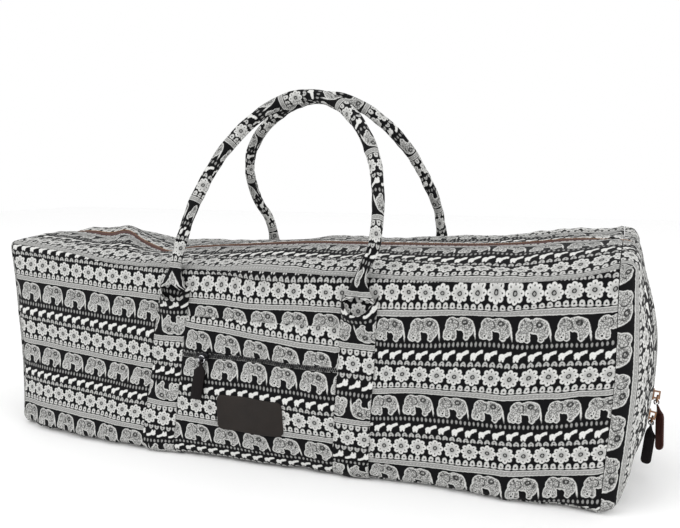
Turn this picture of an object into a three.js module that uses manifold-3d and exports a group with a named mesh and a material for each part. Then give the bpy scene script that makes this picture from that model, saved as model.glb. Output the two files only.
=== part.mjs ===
// A duffel bag for a rolled yoga mat, sewn from printed cotton canvas. It is built as the real one
// is: seven cloth panels round a hollow, a zip along the top and down both ends, a flat pocket with
// its own zip between two webs, two padded handles, and leather pulls on metal sliders.
// Millimetres, +Z up, +X along the bag, the front with the pocket faces -Y. The origin is on the
// floor under the middle of the bag.
import * as THREE from "three";
import { mergeVertices } from "three/addons/utils/BufferGeometryUtils.js";
import Module from "manifold-3d";

const wasm = await Module();
wasm.setup();

// The bag's box, measured over the cloth before the filling bends it.
const SEAM_SPAN = 642; // from one end seam to the other
const DEPTH = 200;
const HEIGHT = 214;
const TOP_EDGE_RADIUS = 8;
const FOOT_EDGE_RADIUS = 10;
const FOOT_SEAM_ANGLE = 55; // degrees round the foot edge at which the bottom panel is sewn on

// How the filling shapes it.
const END_WRAP = 14; // how far an end panel turns round the corner before it is flat
const END_DOME = 20; // how far the middle of an end swells past its rim
const DOME_LOW = 1.5; // above 1, the swelling is fullest below the middle of the end
const FACE_BULGE = 6; // the same for the front and the back
const END_PINCH = 8; // how much the long faces draw together beside the end seams
const BASE_DRAW_IN = 6; // how much shorter each end is at the floor
const LEFT_REACH = 6.5; // how much further the left end is pushed out than the right
const LEFT_REACH_FROM = 150; // from the bag's middle to where that begins
const SPREAD_TOP = 0.55; // share of the height below which the foot of the front spreads
const ROOF_SHOULDER = 3; // above 2, the roof is flat in the middle and round towards its edges
const END_REACH = 60; // how far inside the end seam the swelling starts

// Cloth.
const WALL = 2;
const GAP = 0.3; // between two edges that meet in a seam
const END_GAP = 0.7; // the same at the end seams, where the edges curve two ways
const LAY = 0.6; // between two layers of cloth
const WEB_WIDTH = 36;
const WEB_THICK = 1.6;

// The main zip.
const SLOT_HALF = 8.5; // half the width of tape that shows
const TAPE_HALF = 14;
const TAPE_THICK = 0.9;
const TAPE_LAY = 1.4; // between the tape and the panels over it
const CHAIN_LAY = 0.6; // between the chain and the tapes under it
const CHAIN_HALF = 2.8;
const CHAIN_THICK = 2.2;
const ZIP_DROP = 164; // how far the zip runs down each end

// The pocket, its zip and its patch.
const POCKET_TOP = 159; // height of the pocket's top edge on the front panel, at its left end
const POCKET_SAG = 1; // how much lower its right end is
const POCKET_ZIP = 114.5; // height of the pocket zip's middle
const POCKET_THICK = 1.4;
const POCKET_SLIT_HALF = 3;
const PATCH_WIDTH = 73;
const PATCH_HEIGHT = 37;
const PATCH_THICK = 1.8;
const PATCH_CORNER = 6;
const PATCH_LEFT = 53; // from the bag's middle to the patch's left edge
const PATCH_FOOT = 37; // height of the patch's lower edge

// The handles.
const HANDLE_DIAMETER = 14.5; // at the arch's crown
const HANDLE_TAPER = 0.82; // its thickness where the arch begins, as a share of that
const HANDLE_SPAN = 212; // between the middles of a handle's two webs
const HANDLE_RISE = 154; // from the height of the box to the middle of the arch's crown
const SPRING_RISE = 30; // how far above the top edge the arch begins
const SPRING_INSET = 8; // how far inside the top edge it begins
const CROWN_GAP = 4.5; // between the two handles where they nearly touch
const FOOT_LENGTH = 48; // of the flattened end sewn down on the face

// The sliders and what hangs on them.
const SLIDER_WIDTH = 9;
const SLIDER_LIP = 0.9; // of the plate past its posts
const PLATE_THICK = 2.4;
const POST = 1.4;
const POST_SPACING = 6.6;
const RING_RADIUS = 3.4;
const RING_WIRE = 0.75;
const RING_PLAY = 0.6; // between the ring's wire and the leather round it
const PULL_THICK = 2.8;
const PULL_NECK = 3.4; // width of the leather where it goes round the ring
const PULL_FOLD = 1; // thickness of the leather there
const PULL_SHOULDER = 9; // from the ring to where the pull is full width
const END_PULL_WIDTH = 9.5;
const END_PULL_LENGTH = 44;
const POCKET_PULL_WIDTH = 11;
const POCKET_PULL_LENGTH = 38;
const UPPER_SLIDER_UP = 25; // from the main zip's end to the upper slider's middle
const LOWER_SLIDER_UP = 6;
const POCKET_SLIDER_IN = 29; // from the pocket zip's left end to its slider's middle

// The line of the roof above the floor, as shares of the height, at places along the bag given as
// shares of the way from its middle to an end seam. The filling leaves the front edge slack between
// the corners, and a pull on the cloth dents the roof at its left third.
const ROOF = [
  { along: -1.05, front: 0.982, crown: 0.995, back: 0.995 },
  { along: -0.9, front: 0.962, crown: 0.998, back: 0.985 },
  { along: -0.75, front: 0.938, crown: 0.962, back: 0.958 },
  { along: -0.58, front: 0.897, crown: 0.928, back: 0.932 },
  { along: -0.3, front: 0.89, crown: 0.952, back: 0.95 },
  { along: 0, front: 0.892, crown: 0.985, back: 0.98 },
  { along: 0.35, front: 0.896, crown: 0.996, back: 0.995 },
  { along: 0.66, front: 0.9, crown: 1.012, back: 1.03 },
  { along: 0.86, front: 0.932, crown: 1.035, back: 1.055 },
  { along: 1.05, front: 1.014, crown: 1.055, back: 1.075 },
];

// How far the foot of the front stands out, as shares of half the depth, at the same places. The
// filling has sunk forward in the left half.
const FOOT_SPREAD = [
  { along: -1.05, front: 0.14 },
  { along: -0.956, front: 0.21 },
  { along: -0.88, front: 0.29 },
  { along: -0.75, front: 0.32 },
  { along: -0.58, front: 0.335 },
  { along: -0.45, front: 0.33 },
  { along: -0.3, front: 0.25 },
  { along: -0.1, front: 0.18 },
  { along: 0.1, front: 0.14 },
  { along: 0.35, front: 0.085 },
  { along: 0.66, front: 0.045 },
  { along: 0.86, front: 0.05 },
  { along: 1.05, front: 0.06 },
];

// Folds pressed into the roof. Ends are shares of the half length and half depth, rises are shares
// of the height, and spreads are shares of the depth.
const FOLDS = [
  { fromAlong: -0.9, fromAcross: 0.72, toAlong: -0.6, toAcross: -0.7, rise: 0.045, spread: 0.075 },
  { fromAlong: -0.7, fromAcross: 0.95, toAlong: -0.5, toAcross: -0.5, rise: -0.03, spread: 0.09 },
  { fromAlong: -0.2, fromAcross: -0.72, toAlong: 0.22, toAcross: -0.6, rise: -0.018, spread: 0.06 },
  { fromAlong: 0.45, fromAcross: -0.62, toAlong: 0.92, toAcross: -0.8, rise: -0.02, spread: 0.06 },
  { fromAlong: 0.3, fromAcross: 0.6, toAlong: 0.8, toAcross: 0.5, rise: 0.016, spread: 0.07 },
];

// The flattened end of a handle, from its sewn end up to the top edge. How far down the face is a
// share of the foot's length, and width and thickness are shares of the web's width and the
// handle's diameter.
const FOOT_SECTIONS = [
  { down: 1, width: 0.8, thick: 0.14 },
  { down: 0.9, width: 0.97, thick: 0.17 },
  { down: 0.6, width: 0.97, thick: 0.2 },
  { down: 0.3, width: 0.86, thick: 0.27 },
  { down: 0.04, width: 0.7, thick: 0.36 },
];

const HALF_SPAN = SEAM_SPAN / 2;
const HALF_DEPTH = DEPTH / 2;
const FRONT = -1;
const BACK = 1;
const AXIS_X = new THREE.Vector3(1, 0, 0);
const AXIS_Y = new THREE.Vector3(0, 1, 0);

const canvas = new THREE.MeshStandardMaterial({ color: 0x77777a, roughness: 0.92, metalness: 0 });
const zipCloth = new THREE.MeshStandardMaterial({ color: 0x5e423c, roughness: 0.9, metalness: 0 });
const blackZip = new THREE.MeshStandardMaterial({ color: 0x1a191b, roughness: 0.85, metalness: 0 });
const brass = new THREE.MeshStandardMaterial({ color: 0x8c6a52, roughness: 0.4, metalness: 1 });
const gunmetal = new THREE.MeshStandardMaterial({ color: 0x3b3b3e, roughness: 0.4, metalness: 1 });
const nickel = new THREE.MeshStandardMaterial({ color: 0xc9c9cc, roughness: 0.25, metalness: 1 });
const patchLeather = new THREE.MeshStandardMaterial({ color: 0x383433, roughness: 0.7, metalness: 0 });
const brownLeather = new THREE.MeshStandardMaterial({ color: 0x4a2c26, roughness: 0.6, metalness: 0 });
const blackLeather = new THREE.MeshStandardMaterial({ color: 0x1c1819, roughness: 0.6, metalness: 0 });

const clamp01 = (t) => THREE.MathUtils.clamp(t, 0, 1);
const lerp = THREE.MathUtils.lerp;
const radians = THREE.MathUtils.degToRad;

// A number from a table's named column, eased from row to row.
function fromTable(table, key, column, at) {
  let row = 0;
  while (row < table.length - 2 && at > table[row + 1][key]) row++;
  const before = table[Math.max(row - 1, 0)];
  const from = table[row];
  const to = table[row + 1];
  const after = table[Math.min(row + 2, table.length - 1)];
  const step = to[key] - from[key];
  const t = clamp01((at - from[key]) / step);
  const slopeFrom = ((to[column] - before[column]) / (to[key] - before[key])) * step;
  const slopeTo = ((after[column] - from[column]) / (after[key] - from[key])) * step;
  const squared = t * t;
  const cubed = squared * t;
  return (
    (2 * cubed - 3 * squared + 1) * from[column] +
    (cubed - 2 * squared + t) * slopeFrom +
    (3 * squared - 2 * cubed) * to[column] +
    (cubed - squared) * slopeTo
  );
}

// How much a roof fold lifts the cloth at a place, in millimetres.
function foldRise(fold, along, across) {
  const ax = fold.fromAlong * HALF_SPAN;
  const ay = fold.fromAcross * HALF_DEPTH;
  const dx = fold.toAlong * HALF_SPAN - ax;
  const dy = fold.toAcross * HALF_DEPTH - ay;
  const px = along * HALF_SPAN - ax;
  const py = across * HALF_DEPTH - ay;
  const way = (px * dx + py * dy) / (dx * dx + dy * dy);
  const near = clamp01(way);
  const away = Math.hypot(px - near * dx, py - near * dy) / (fold.spread * DEPTH);
  const taper = 0.35 + 0.65 * Math.sin(Math.PI * near);
  return fold.rise * HEIGHT * taper * Math.exp(-away * away);
}

// Height of the roof over a place, as the share by which the cloth below it is lifted or lowered.
function roofShare(along, across) {
  const crown = fromTable(ROOF, "along", "crown", along);
  const edge = fromTable(ROOF, "along", across < 0 ? "front" : "back", along);
  return lerp(crown, edge, Math.pow(Math.min(Math.abs(across), 1.1), ROOF_SHOULDER));
}

// Takes a point of the straight box to where the filled bag has it. Every piece goes through this,
// so pieces that fit together in the box still fit afterwards.
function fill(p) {
  const along = p.x / HALF_SPAN;
  const across = p.y / HALF_DEPTH;
  const up = p.z / HEIGHT;
  const within = clamp01(up);
  const middle = 1 - Math.min(along * along, 1);
  const swell = Math.pow(Math.sin(Math.PI * within), 0.8);
  const endness = THREE.MathUtils.smoothstep(Math.abs(p.x), HALF_SPAN - END_REACH, HALF_SPAN + END_WRAP);
  const fullness = Math.sin(Math.PI * (1 - Math.pow(1 - within, DOME_LOW)));
  const dome = Math.pow(Math.max(fullness, 0), 0.85) * (1 - Math.min(across * across, 1));
  const rise = FOLDS.reduce((sum, fold) => sum + foldRise(fold, along, across), 0);
  const roofness = THREE.MathUtils.smoothstep(up, 0.8, 1);
  const low = 1 - THREE.MathUtils.smoothstep(up, 0, 0.6);
  const pinch = END_PINCH * Math.pow(Math.min(Math.abs(along), 1), 6) * swell;
  const spread = 1 - THREE.MathUtils.smoothstep(up, 0, SPREAD_TOP);
  const forward = Math.max(-across, 0) * HALF_DEPTH * fromTable(FOOT_SPREAD, "along", "front", along) * spread;
  const pushed = LEFT_REACH * THREE.MathUtils.smoothstep(-p.x, LEFT_REACH_FROM, HALF_SPAN);
  return new THREE.Vector3(
    p.x + Math.sign(p.x) * END_DOME * dome * endness - along * BASE_DRAW_IN * low - pushed,
    p.y + across * (FACE_BULGE * swell * middle - pinch) - forward,
    p.z * roofShare(along, across) + rise * roofness,
  );
}

// The bag's outline across its length, as a way round from the middle of the roof, down a face and
// in under the bag. Each stretch is as long as the cloth on it.
const ROOF_FLAT = HALF_DEPTH - TOP_EDGE_RADIUS;
const TOP_ARC = (Math.PI / 2) * TOP_EDGE_RADIUS;
const FACE = HEIGHT - TOP_EDGE_RADIUS - FOOT_EDGE_RADIUS;
const FOOT_ARC = (Math.PI / 2) * FOOT_EDGE_RADIUS;
const BOTTOM_FLAT = HALF_DEPTH - FOOT_EDGE_RADIUS;
const FACE_START = ROOF_FLAT + TOP_ARC;
const FOOT_START = FACE_START + FACE;
const BOTTOM_START = FOOT_START + FOOT_ARC;
const GIRTH_HALF = BOTTOM_START + BOTTOM_FLAT;
const TOP_SEAM = ROOF_FLAT + TOP_ARC / 2;
const FOOT_SEAM = FOOT_START + (FOOT_ARC * FOOT_SEAM_ANGLE) / 90;

// The outline's point and outward direction at a way round, on the front or the back.
function outline(way, side) {
  let y = way;
  let z = HEIGHT;
  let ny = 0;
  let nz = 1;
  if (way > BOTTOM_START) {
    y = GIRTH_HALF - way;
    z = 0;
    nz = -1;
  } else if (way > FOOT_START) {
    const turn = (way - FOOT_START) / FOOT_EDGE_RADIUS;
    ny = Math.cos(turn);
    nz = -Math.sin(turn);
    y = HALF_DEPTH - FOOT_EDGE_RADIUS * (1 - ny);
    z = FOOT_EDGE_RADIUS * (1 + nz);
  } else if (way > FACE_START) {
    y = HALF_DEPTH;
    z = HEIGHT - TOP_EDGE_RADIUS - (way - FACE_START);
    ny = 1;
    nz = 0;
  } else if (way > ROOF_FLAT) {
    const turn = (way - ROOF_FLAT) / TOP_EDGE_RADIUS;
    ny = Math.sin(turn);
    nz = Math.cos(turn);
    y = HALF_DEPTH - TOP_EDGE_RADIUS * (1 - ny);
    z = HEIGHT - TOP_EDGE_RADIUS * (1 - nz);
  }
  return { y: side * y, z, ny: side * ny, nz };
}

// A point of the long sides, lifted off the outer skin.
function sidePoint(x, way, lift, side) {
  const at = outline(way, side);
  return new THREE.Vector3(x, at.y + lift * at.ny, at.z + lift * at.nz);
}

const wayAtHeight = (z) => FACE_START + (HEIGHT - TOP_EDGE_RADIUS - z);

// A run of evenly spaced numbers, both ends included.
function steps(from, to, count) {
  return Array.from({ length: count + 1 }, (_, i) => lerp(from, to, i / count));
}

// A closed body from its vertices and triangles, faces turned outwards.
function body(vertices, triangles) {
  const at = (i) => vertices[i];
  const volume = triangles.reduce(
    (sum, [a, b, c]) => sum + at(a).dot(new THREE.Vector3().crossVectors(at(b), at(c))),
    0,
  );
  const facing = volume < 0 ? triangles.map(([a, b, c]) => [a, c, b]) : triangles;
  const geometry = new THREE.BufferGeometry().setFromPoints(vertices);
  geometry.setIndex(facing.flat());
  geometry.computeVertexNormals();
  return geometry;
}

// A sheet of cloth: place(u, v, level) gives its points, level 0 outside and 1 inside.
function sheet(us, vs, place) {
  const vertices = [];
  const triangles = [];
  for (const level of [0, 1]) {
    for (const u of us) for (const v of vs) vertices.push(place(u, v, level));
  }
  const rows = us.length;
  const columns = vs.length;
  const index = (i, j, level) => level * rows * columns + i * columns + j;
  const quad = (a, b, c, d) => triangles.push([a, b, c], [a, c, d]);
  for (let i = 0; i < rows - 1; i++) {
    for (let j = 0; j < columns - 1; j++) {
      quad(index(i, j, 0), index(i + 1, j, 0), index(i + 1, j + 1, 0), index(i, j + 1, 0));
      quad(index(i, j, 1), index(i, j + 1, 1), index(i + 1, j + 1, 1), index(i + 1, j, 1));
    }
    quad(index(i, 0, 0), index(i, 0, 1), index(i + 1, 0, 1), index(i + 1, 0, 0));
    const last = columns - 1;
    quad(index(i, last, 0), index(i + 1, last, 0), index(i + 1, last, 1), index(i, last, 1));
  }
  for (let j = 0; j < columns - 1; j++) {
    quad(index(0, j, 0), index(0, j + 1, 0), index(0, j + 1, 1), index(0, j, 1));
    const last = rows - 1;
    quad(index(last, j, 0), index(last, j, 1), index(last, j + 1, 1), index(last, j + 1, 0));
  }
  return body(vertices, triangles);
}

// A body lofted through closed rings of points, with a flat cap at each end.
function loft(rings) {
  const count = rings[0].length;
  const triangles = [];
  for (let i = 0; i < rings.length - 1; i++) {
    for (let j = 0; j < count; j++) {
      const a = i * count + j;
      const b = i * count + ((j + 1) % count);
      triangles.push([a, b, b + count], [a, b + count, a + count]);
    }
  }
  const last = (rings.length - 1) * count;
  for (let j = 1; j < count - 1; j++) {
    triangles.push([0, j + 1, j], [last, last + j, last + j + 1]);
  }
  return body(rings.flat(), triangles);
}

// manifold-3d takes a closed mesh with its shared corners merged, and gives one back.
function toSolid(geometry) {
  const bare = geometry.clone();
  bare.deleteAttribute("normal");
  bare.deleteAttribute("uv");
  const merged = mergeVertices(bare, 1e-4);
  return new wasm.Manifold(
    new wasm.Mesh({
      numProp: 3,
      vertProperties: new Float32Array(merged.attributes.position.array),
      triVerts: new Uint32Array(merged.index.array),
    }),
  );
}

function toGeometry(solid) {
  const mesh = solid.getMesh();
  const geometry = new THREE.BufferGeometry();
  const positions = new Float32Array(mesh.numVert * 3);
  for (let i = 0; i < mesh.numVert; i++) {
    positions.set(mesh.vertProperties.subarray(i * mesh.numProp, i * mesh.numProp + 3), i * 3);
  }
  geometry.setAttribute("position", new THREE.BufferAttribute(positions, 3));
  geometry.setIndex(new THREE.BufferAttribute(mesh.triVerts, 1));
  geometry.computeVertexNormals();
  return geometry;
}

// Moves every vertex of a geometry of the straight box to where the filled bag has it.
function fillGeometry(geometry) {
  const position = geometry.getAttribute("position");
  for (let i = 0; i < position.count; i++) {
    const moved = fill(new THREE.Vector3().fromBufferAttribute(position, i));
    position.setXYZ(i, moved.x, moved.y, moved.z);
  }
  geometry.computeVertexNormals();
  return geometry;
}

const bag = new THREE.Group();

function add(name, geometry, material, parent = bag) {
  const mesh = new THREE.Mesh(geometry, material);
  mesh.name = name;
  parent.add(mesh);
  return mesh;
}

// Where the cloth is divided along the bag and round it. Layers that lie on each other share these
// lines, so that their facets run parallel.
const ALONG = steps(-HALF_SPAN, HALF_SPAN, 24);
const ALONG_COARSE = ALONG.filter((_, i) => i % 2 === 0);
const ROOF_WAYS = [SLOT_HALF, ...steps(TAPE_HALF, ROOF_FLAT, 4)];
const FACE_WAYS = steps(FACE_START, FOOT_START, 8);
const ARC_WAYS = steps(FOOT_START, FOOT_SEAM - GAP / 2, 3);
const faceWays = [TOP_SEAM + GAP / 2, ...FACE_WAYS, ...ARC_WAYS.slice(1)];
const roofWays = [...ROOF_WAYS, TOP_SEAM - GAP / 2];

function panel(name, alongs, ways, side) {
  const place = (x, way, level) => fill(sidePoint(x, way, -WALL * level, side));
  add(name, sheet(alongs, ways, place), canvas);
}
panel("roof_panel_front", ALONG, roofWays, FRONT);
panel("roof_panel_back", ALONG, roofWays, BACK);
panel("front_panel", ALONG, faceWays, FRONT);
panel("back_panel", ALONG, faceWays, BACK);

// The bottom panel runs from foot seam to foot seam. Numbers past the middle are on the back.
const underWays = [...steps(FOOT_SEAM + GAP / 2, BOTTOM_START, 2), GIRTH_HALF];
const bottomWays = [...underWays, ...underWays.slice(0, -1).reverse().map((way) => 2 * GIRTH_HALF - way)];
function bottomPlace(x, way, level) {
  const onFront = way <= GIRTH_HALF;
  const point = sidePoint(x, onFront ? way : 2 * GIRTH_HALF - way, -WALL * level, onFront ? FRONT : BACK);
  return fill(point);
}
add("bottom_panel", sheet(ALONG_COARSE, bottomWays, bottomPlace), canvas);

// An end panel is a shallow dish. Its rings run in from the seam, first round the wrap and then
// over the flat, each ring a smaller copy of the outline. hand is -1 on the left and 1 on the right.
const WRAP_TURNS = [0, 45, 90];
const FLAT_RINGS = [0.66, 0.35];
const END_FACET = 36; // longest facet edge on an end panel
function endRing(turn) {
  const inset = END_WRAP * (1 - Math.cos(radians(turn)));
  return { share: 1 - inset / HALF_DEPTH, out: END_WRAP * Math.sin(radians(turn)), turn: radians(turn) };
}
const END_RINGS = [
  ...WRAP_TURNS.map(endRing),
  ...FLAT_RINGS.map((share) => ({ share, out: END_WRAP, turn: Math.PI / 2 })),
];

function endPoint(hand, ring, at, lift) {
  const across = lift * Math.cos(ring.turn);
  return new THREE.Vector3(
    hand * (HALF_SPAN + END_GAP + ring.out + lift * Math.sin(ring.turn)),
    at.y * ring.share + across * at.ny,
    HEIGHT / 2 + (at.z - HEIGHT / 2) * ring.share + across * at.nz,
  );
}

function endPanel(name, hand) {
  const half = [0, 0.5 * ROOF_FLAT, ROOF_FLAT, TOP_SEAM, ...FACE_WAYS.filter((_, i) => i % 2 === 0)];
  half.push(...steps(FOOT_START, BOTTOM_START, 3).slice(1));
  const round = half.map((way) => outline(way, FRONT)).concat([outline(GIRTH_HALF, FRONT)]);
  round.push(...half.slice(1).reverse().map((way) => outline(way, BACK)));
  const vertices = [];
  const triangles = [];
  const count = round.length;
  const rings = END_RINGS.length;
  for (const lift of [0, -WALL]) {
    for (const ring of END_RINGS) for (const at of round) vertices.push(endPoint(hand, ring, at, lift));
    vertices.push(new THREE.Vector3(hand * (HALF_SPAN + END_GAP + END_WRAP + lift), 0, HEIGHT / 2));
  }
  const levelSize = count * rings + 1;
  for (const [level, flip] of [[0, false], [1, true]]) {
    const at = (i, j) => level * levelSize + i * count + (j % count);
    const centre = level * levelSize + count * rings;
    const face = (a, b, c) => triangles.push(flip ? [a, c, b] : [a, b, c]);
    for (let j = 0; j < count; j++) {
      for (let i = 0; i < rings - 1; i++) {
        face(at(i, j), at(i, j + 1), at(i + 1, j + 1));
        face(at(i, j), at(i + 1, j + 1), at(i + 1, j));
      }
      face(at(rings - 1, j), at(rings - 1, j + 1), centre);
    }
  }
  for (let j = 0; j < count; j++) {
    const next = (j + 1) % count;
    triangles.push([j, levelSize + j, levelSize + next], [j, levelSize + next, next]);
  }
  const dish = toSolid(body(vertices, triangles));
  const slotLength = ZIP_DROP + END_WRAP;
  const slot = new THREE.BoxGeometry(4 * END_WRAP, 2 * SLOT_HALF, slotLength);
  slot.translate(hand * (HALF_SPAN + END_WRAP), 0, HEIGHT - ZIP_DROP + slotLength / 2);
  const cut = dish.subtract(toSolid(slot)).refineToLength(END_FACET);
  add(name, fillGeometry(toGeometry(cut)), canvas);
}
endPanel("end_panel_left", -1);
endPanel("end_panel_right", 1);

// The line of the main zip, by the length of tape from the middle of the roof: along the roof, round
// the wrap and down the flat of the end.
const WRAP_LENGTH = (Math.PI / 2) * END_WRAP;
const WRAP_DEPTH = (END_WRAP * HEIGHT) / DEPTH;
const ZIP_LENGTH = HALF_SPAN + WRAP_LENGTH + ZIP_DROP - WRAP_DEPTH - 2 * END_GAP;
function zipLine(length) {
  const hand = Math.sign(length) || 1;
  const past = Math.abs(length) - HALF_SPAN;
  if (past <= 0) return { x: length, z: HEIGHT, nx: 0, nz: 1 };
  if (past >= WRAP_LENGTH) {
    const z = HEIGHT - WRAP_DEPTH - (past - WRAP_LENGTH);
    return { x: hand * (HALF_SPAN + END_GAP + END_WRAP), z, nx: hand, nz: 0 };
  }
  const turn = past / END_WRAP;
  const x = hand * (HALF_SPAN + END_GAP + END_WRAP * Math.sin(turn));
  return { x, z: HEIGHT - WRAP_DEPTH * (1 - Math.cos(turn)), nx: hand * Math.sin(turn), nz: Math.cos(turn) };
}
function zipPoint(length, y, lift) {
  const at = zipLine(length);
  return new THREE.Vector3(at.x + lift * at.nx, y, at.z + lift * at.nz);
}
const endLengths = [
  ...WRAP_TURNS.slice(1, -1).map((turn) => HALF_SPAN + radians(turn) * END_WRAP),
  ...steps(HALF_SPAN + WRAP_LENGTH, ZIP_LENGTH, 7),
];
const ZIP_STATIONS = [...endLengths.map((length) => -length).reverse(), ...ALONG, ...endLengths];
const TAPE_TOP = -WALL - TAPE_LAY;
const CHAIN_TOP = TAPE_TOP + CHAIN_LAY + CHAIN_THICK;

const TAPE_ACROSS = [GAP / 2, CHAIN_HALF, SLOT_HALF, TAPE_HALF];
function zipStrip(name, across, top, thick, material) {
  const place = (length, y, level) => fill(zipPoint(length, y, top - thick * level));
  add(name, sheet(ZIP_STATIONS, across, place), material);
}
zipStrip("zip_tape_front", TAPE_ACROSS.map((y) => y * FRONT), TAPE_TOP, TAPE_THICK, zipCloth);
zipStrip("zip_tape_back", TAPE_ACROSS, TAPE_TOP, TAPE_THICK, zipCloth);
zipStrip("zip_chain", [-CHAIN_HALF, CHAIN_HALF], CHAIN_TOP, CHAIN_THICK, brass);

// The webs under the handles. Each one's middle is a share of half the handles' span, at its head
// and at the floor, and so is the place where the handle springs above it.
const WEBS = {
  front_left: { side: FRONT, head: -0.985, foot: -1.225, spring: -0.98 },
  front_right: { side: FRONT, head: 0.93, foot: 0.87, spring: 1.02 },
  back_left: { side: BACK, head: -0.94, foot: -0.94, spring: -0.95 },
  back_right: { side: BACK, head: 1.145, foot: 1.17, spring: 1.145 },
};
const WEB_START = FACE_START + FOOT_LENGTH / 4;
const WEB_END = FOOT_SEAM - 2 * GAP;

function webMiddle(web, way) {
  const down = clamp01((way - FACE_START) / FACE);
  return (lerp(web.head, web.foot, down) * HANDLE_SPAN) / 2;
}
for (const [name, web] of Object.entries(WEBS)) {
  const ways = [WEB_START, ...FACE_WAYS.filter((way) => way > WEB_START + WEB_WIDTH / 4)];
  ways.push(...ARC_WAYS.slice(1, -1), WEB_END);
  const place = (u, way, level) => {
    const x = webMiddle(web, way) + (u * WEB_WIDTH) / 2;
    return fill(sidePoint(x, way, LAY + WEB_THICK * (1 - level), web.side));
  };
  add("web_" + name, sheet([-1, 0, 1], ways, place), canvas);
}

// The pocket fills the front between the two webs, above and below its zip.
function pocketX(u, way) {
  const left = webMiddle(WEBS.front_left, way) + WEB_WIDTH / 2 + GAP;
  const right = webMiddle(WEBS.front_right, way) - WEB_WIDTH / 2 - GAP;
  return lerp(left, right, u);
}
function pocketPiece(name, fromWay, toWay, sag, material) {
  const between = FACE_WAYS.filter((way) => way > fromWay + sag + WALL && way < toWay - WALL);
  const arcs = ARC_WAYS.slice(1, -1).filter((way) => way < toWay - WALL);
  const place = (u, way, level) => {
    const down = way === fromWay ? way + sag * u : way;
    return fill(sidePoint(pocketX(u, down), down, LAY + POCKET_THICK * (1 - level), FRONT));
  };
  add(name, sheet(steps(0, 1, 6), [fromWay, ...between, ...arcs, toWay], place), material);
}
const ZIP_WAY = wayAtHeight(POCKET_ZIP);
pocketPiece("pocket_top_band", wayAtHeight(POCKET_TOP), ZIP_WAY - POCKET_SLIT_HALF, POCKET_SAG, canvas);
pocketPiece("pocket_front", ZIP_WAY + POCKET_SLIT_HALF, WEB_END, 0, canvas);
const COIL_HALF = POCKET_SLIT_HALF - GAP;
pocketPiece("pocket_zip", ZIP_WAY - COIL_HALF, ZIP_WAY + COIL_HALF, 0, blackZip);

// The patch is a leather rectangle with round corners, laid on the pocket and bent with it.
function patch() {
  const shape = new THREE.Shape();
  const w = PATCH_WIDTH;
  const h = PATCH_HEIGHT;
  const r = PATCH_CORNER;
  shape.absarc(w - r, r, r, -Math.PI / 2, 0, false);
  shape.absarc(w - r, h - r, r, 0, Math.PI / 2, false);
  shape.absarc(r, h - r, r, Math.PI / 2, Math.PI, false);
  shape.absarc(r, r, r, Math.PI, 1.5 * Math.PI, false);
  const slab = new THREE.ExtrudeGeometry(shape, { depth: PATCH_THICK, bevelEnabled: false, curveSegments: 3 });
  slab.rotateX(Math.PI / 2);
  const lift = LAY + POCKET_THICK + LAY;
  slab.translate(-PATCH_LEFT, -HALF_DEPTH - lift, PATCH_FOOT);
  return fillGeometry(slab);
}
add("leather_patch", patch(), patchLeather);

// A handle is a padded tube whose two ends are pressed flat and sewn down over the webs. Each half
// of its arch bows sideways by a share of half the span.
const HANDLES = {
  front: { side: FRONT, left: WEBS.front_left, right: WEBS.front_right, thick: 1, bowLeft: 0, bowRight: 0 },
  back: { side: BACK, left: WEBS.back_left, right: WEBS.back_right, thick: 0.92, bowLeft: -0.16, bowRight: -0.04 },
};
function footSections(web) {
  return FOOT_SECTIONS.map(({ down, width, thick }) => {
    const way = FACE_START + FOOT_LENGTH * down;
    const half = (thick * HANDLE_DIAMETER) / 2;
    const lift = LAY + WEB_THICK + LAY + half;
    const centre = fill(sidePoint(webMiddle(web, way), way, lift, web.side));
    return { centre, across: (width * WEB_WIDTH) / 2, thick: half, facing: 0 };
  });
}
function handlePath({ side, left, right, thick, bowLeft, bowRight }) {
  const from = fill(sidePoint((left.spring * HANDLE_SPAN) / 2, TOP_SEAM, 0, side));
  const to = fill(sidePoint((right.spring * HANDLE_SPAN) / 2, TOP_SEAM, 0, side));
  const springY = side * (HALF_DEPTH - SPRING_INSET);
  const crownY = (side * (HANDLE_DIAMETER + CROWN_GAP)) / 2;
  const arch = steps(0, 180, 22).map((degrees) => {
    const turn = radians(degrees);
    const risen = Math.sin(turn);
    const half = ((thick * HANDLE_DIAMETER) / 2) * lerp(HANDLE_TAPER, 1, risen);
    const bow = ((degrees < 90 ? bowLeft : bowRight) * HANDLE_SPAN) / 2;
    const foot = new THREE.Vector3().lerpVectors(from, to, (1 - Math.cos(turn)) / 2);
    const x = foot.x + bow * Math.sin(Math.PI * risen);
    const y = lerp(springY, crownY, risen);
    const z = lerp(foot.z + SPRING_RISE, HEIGHT + HANDLE_RISE, risen);
    return { centre: new THREE.Vector3(x, y, z), across: half, thick: half, facing: 1 };
  });
  return [...footSections(left), ...arch, ...footSections(right).reverse()];
}

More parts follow.
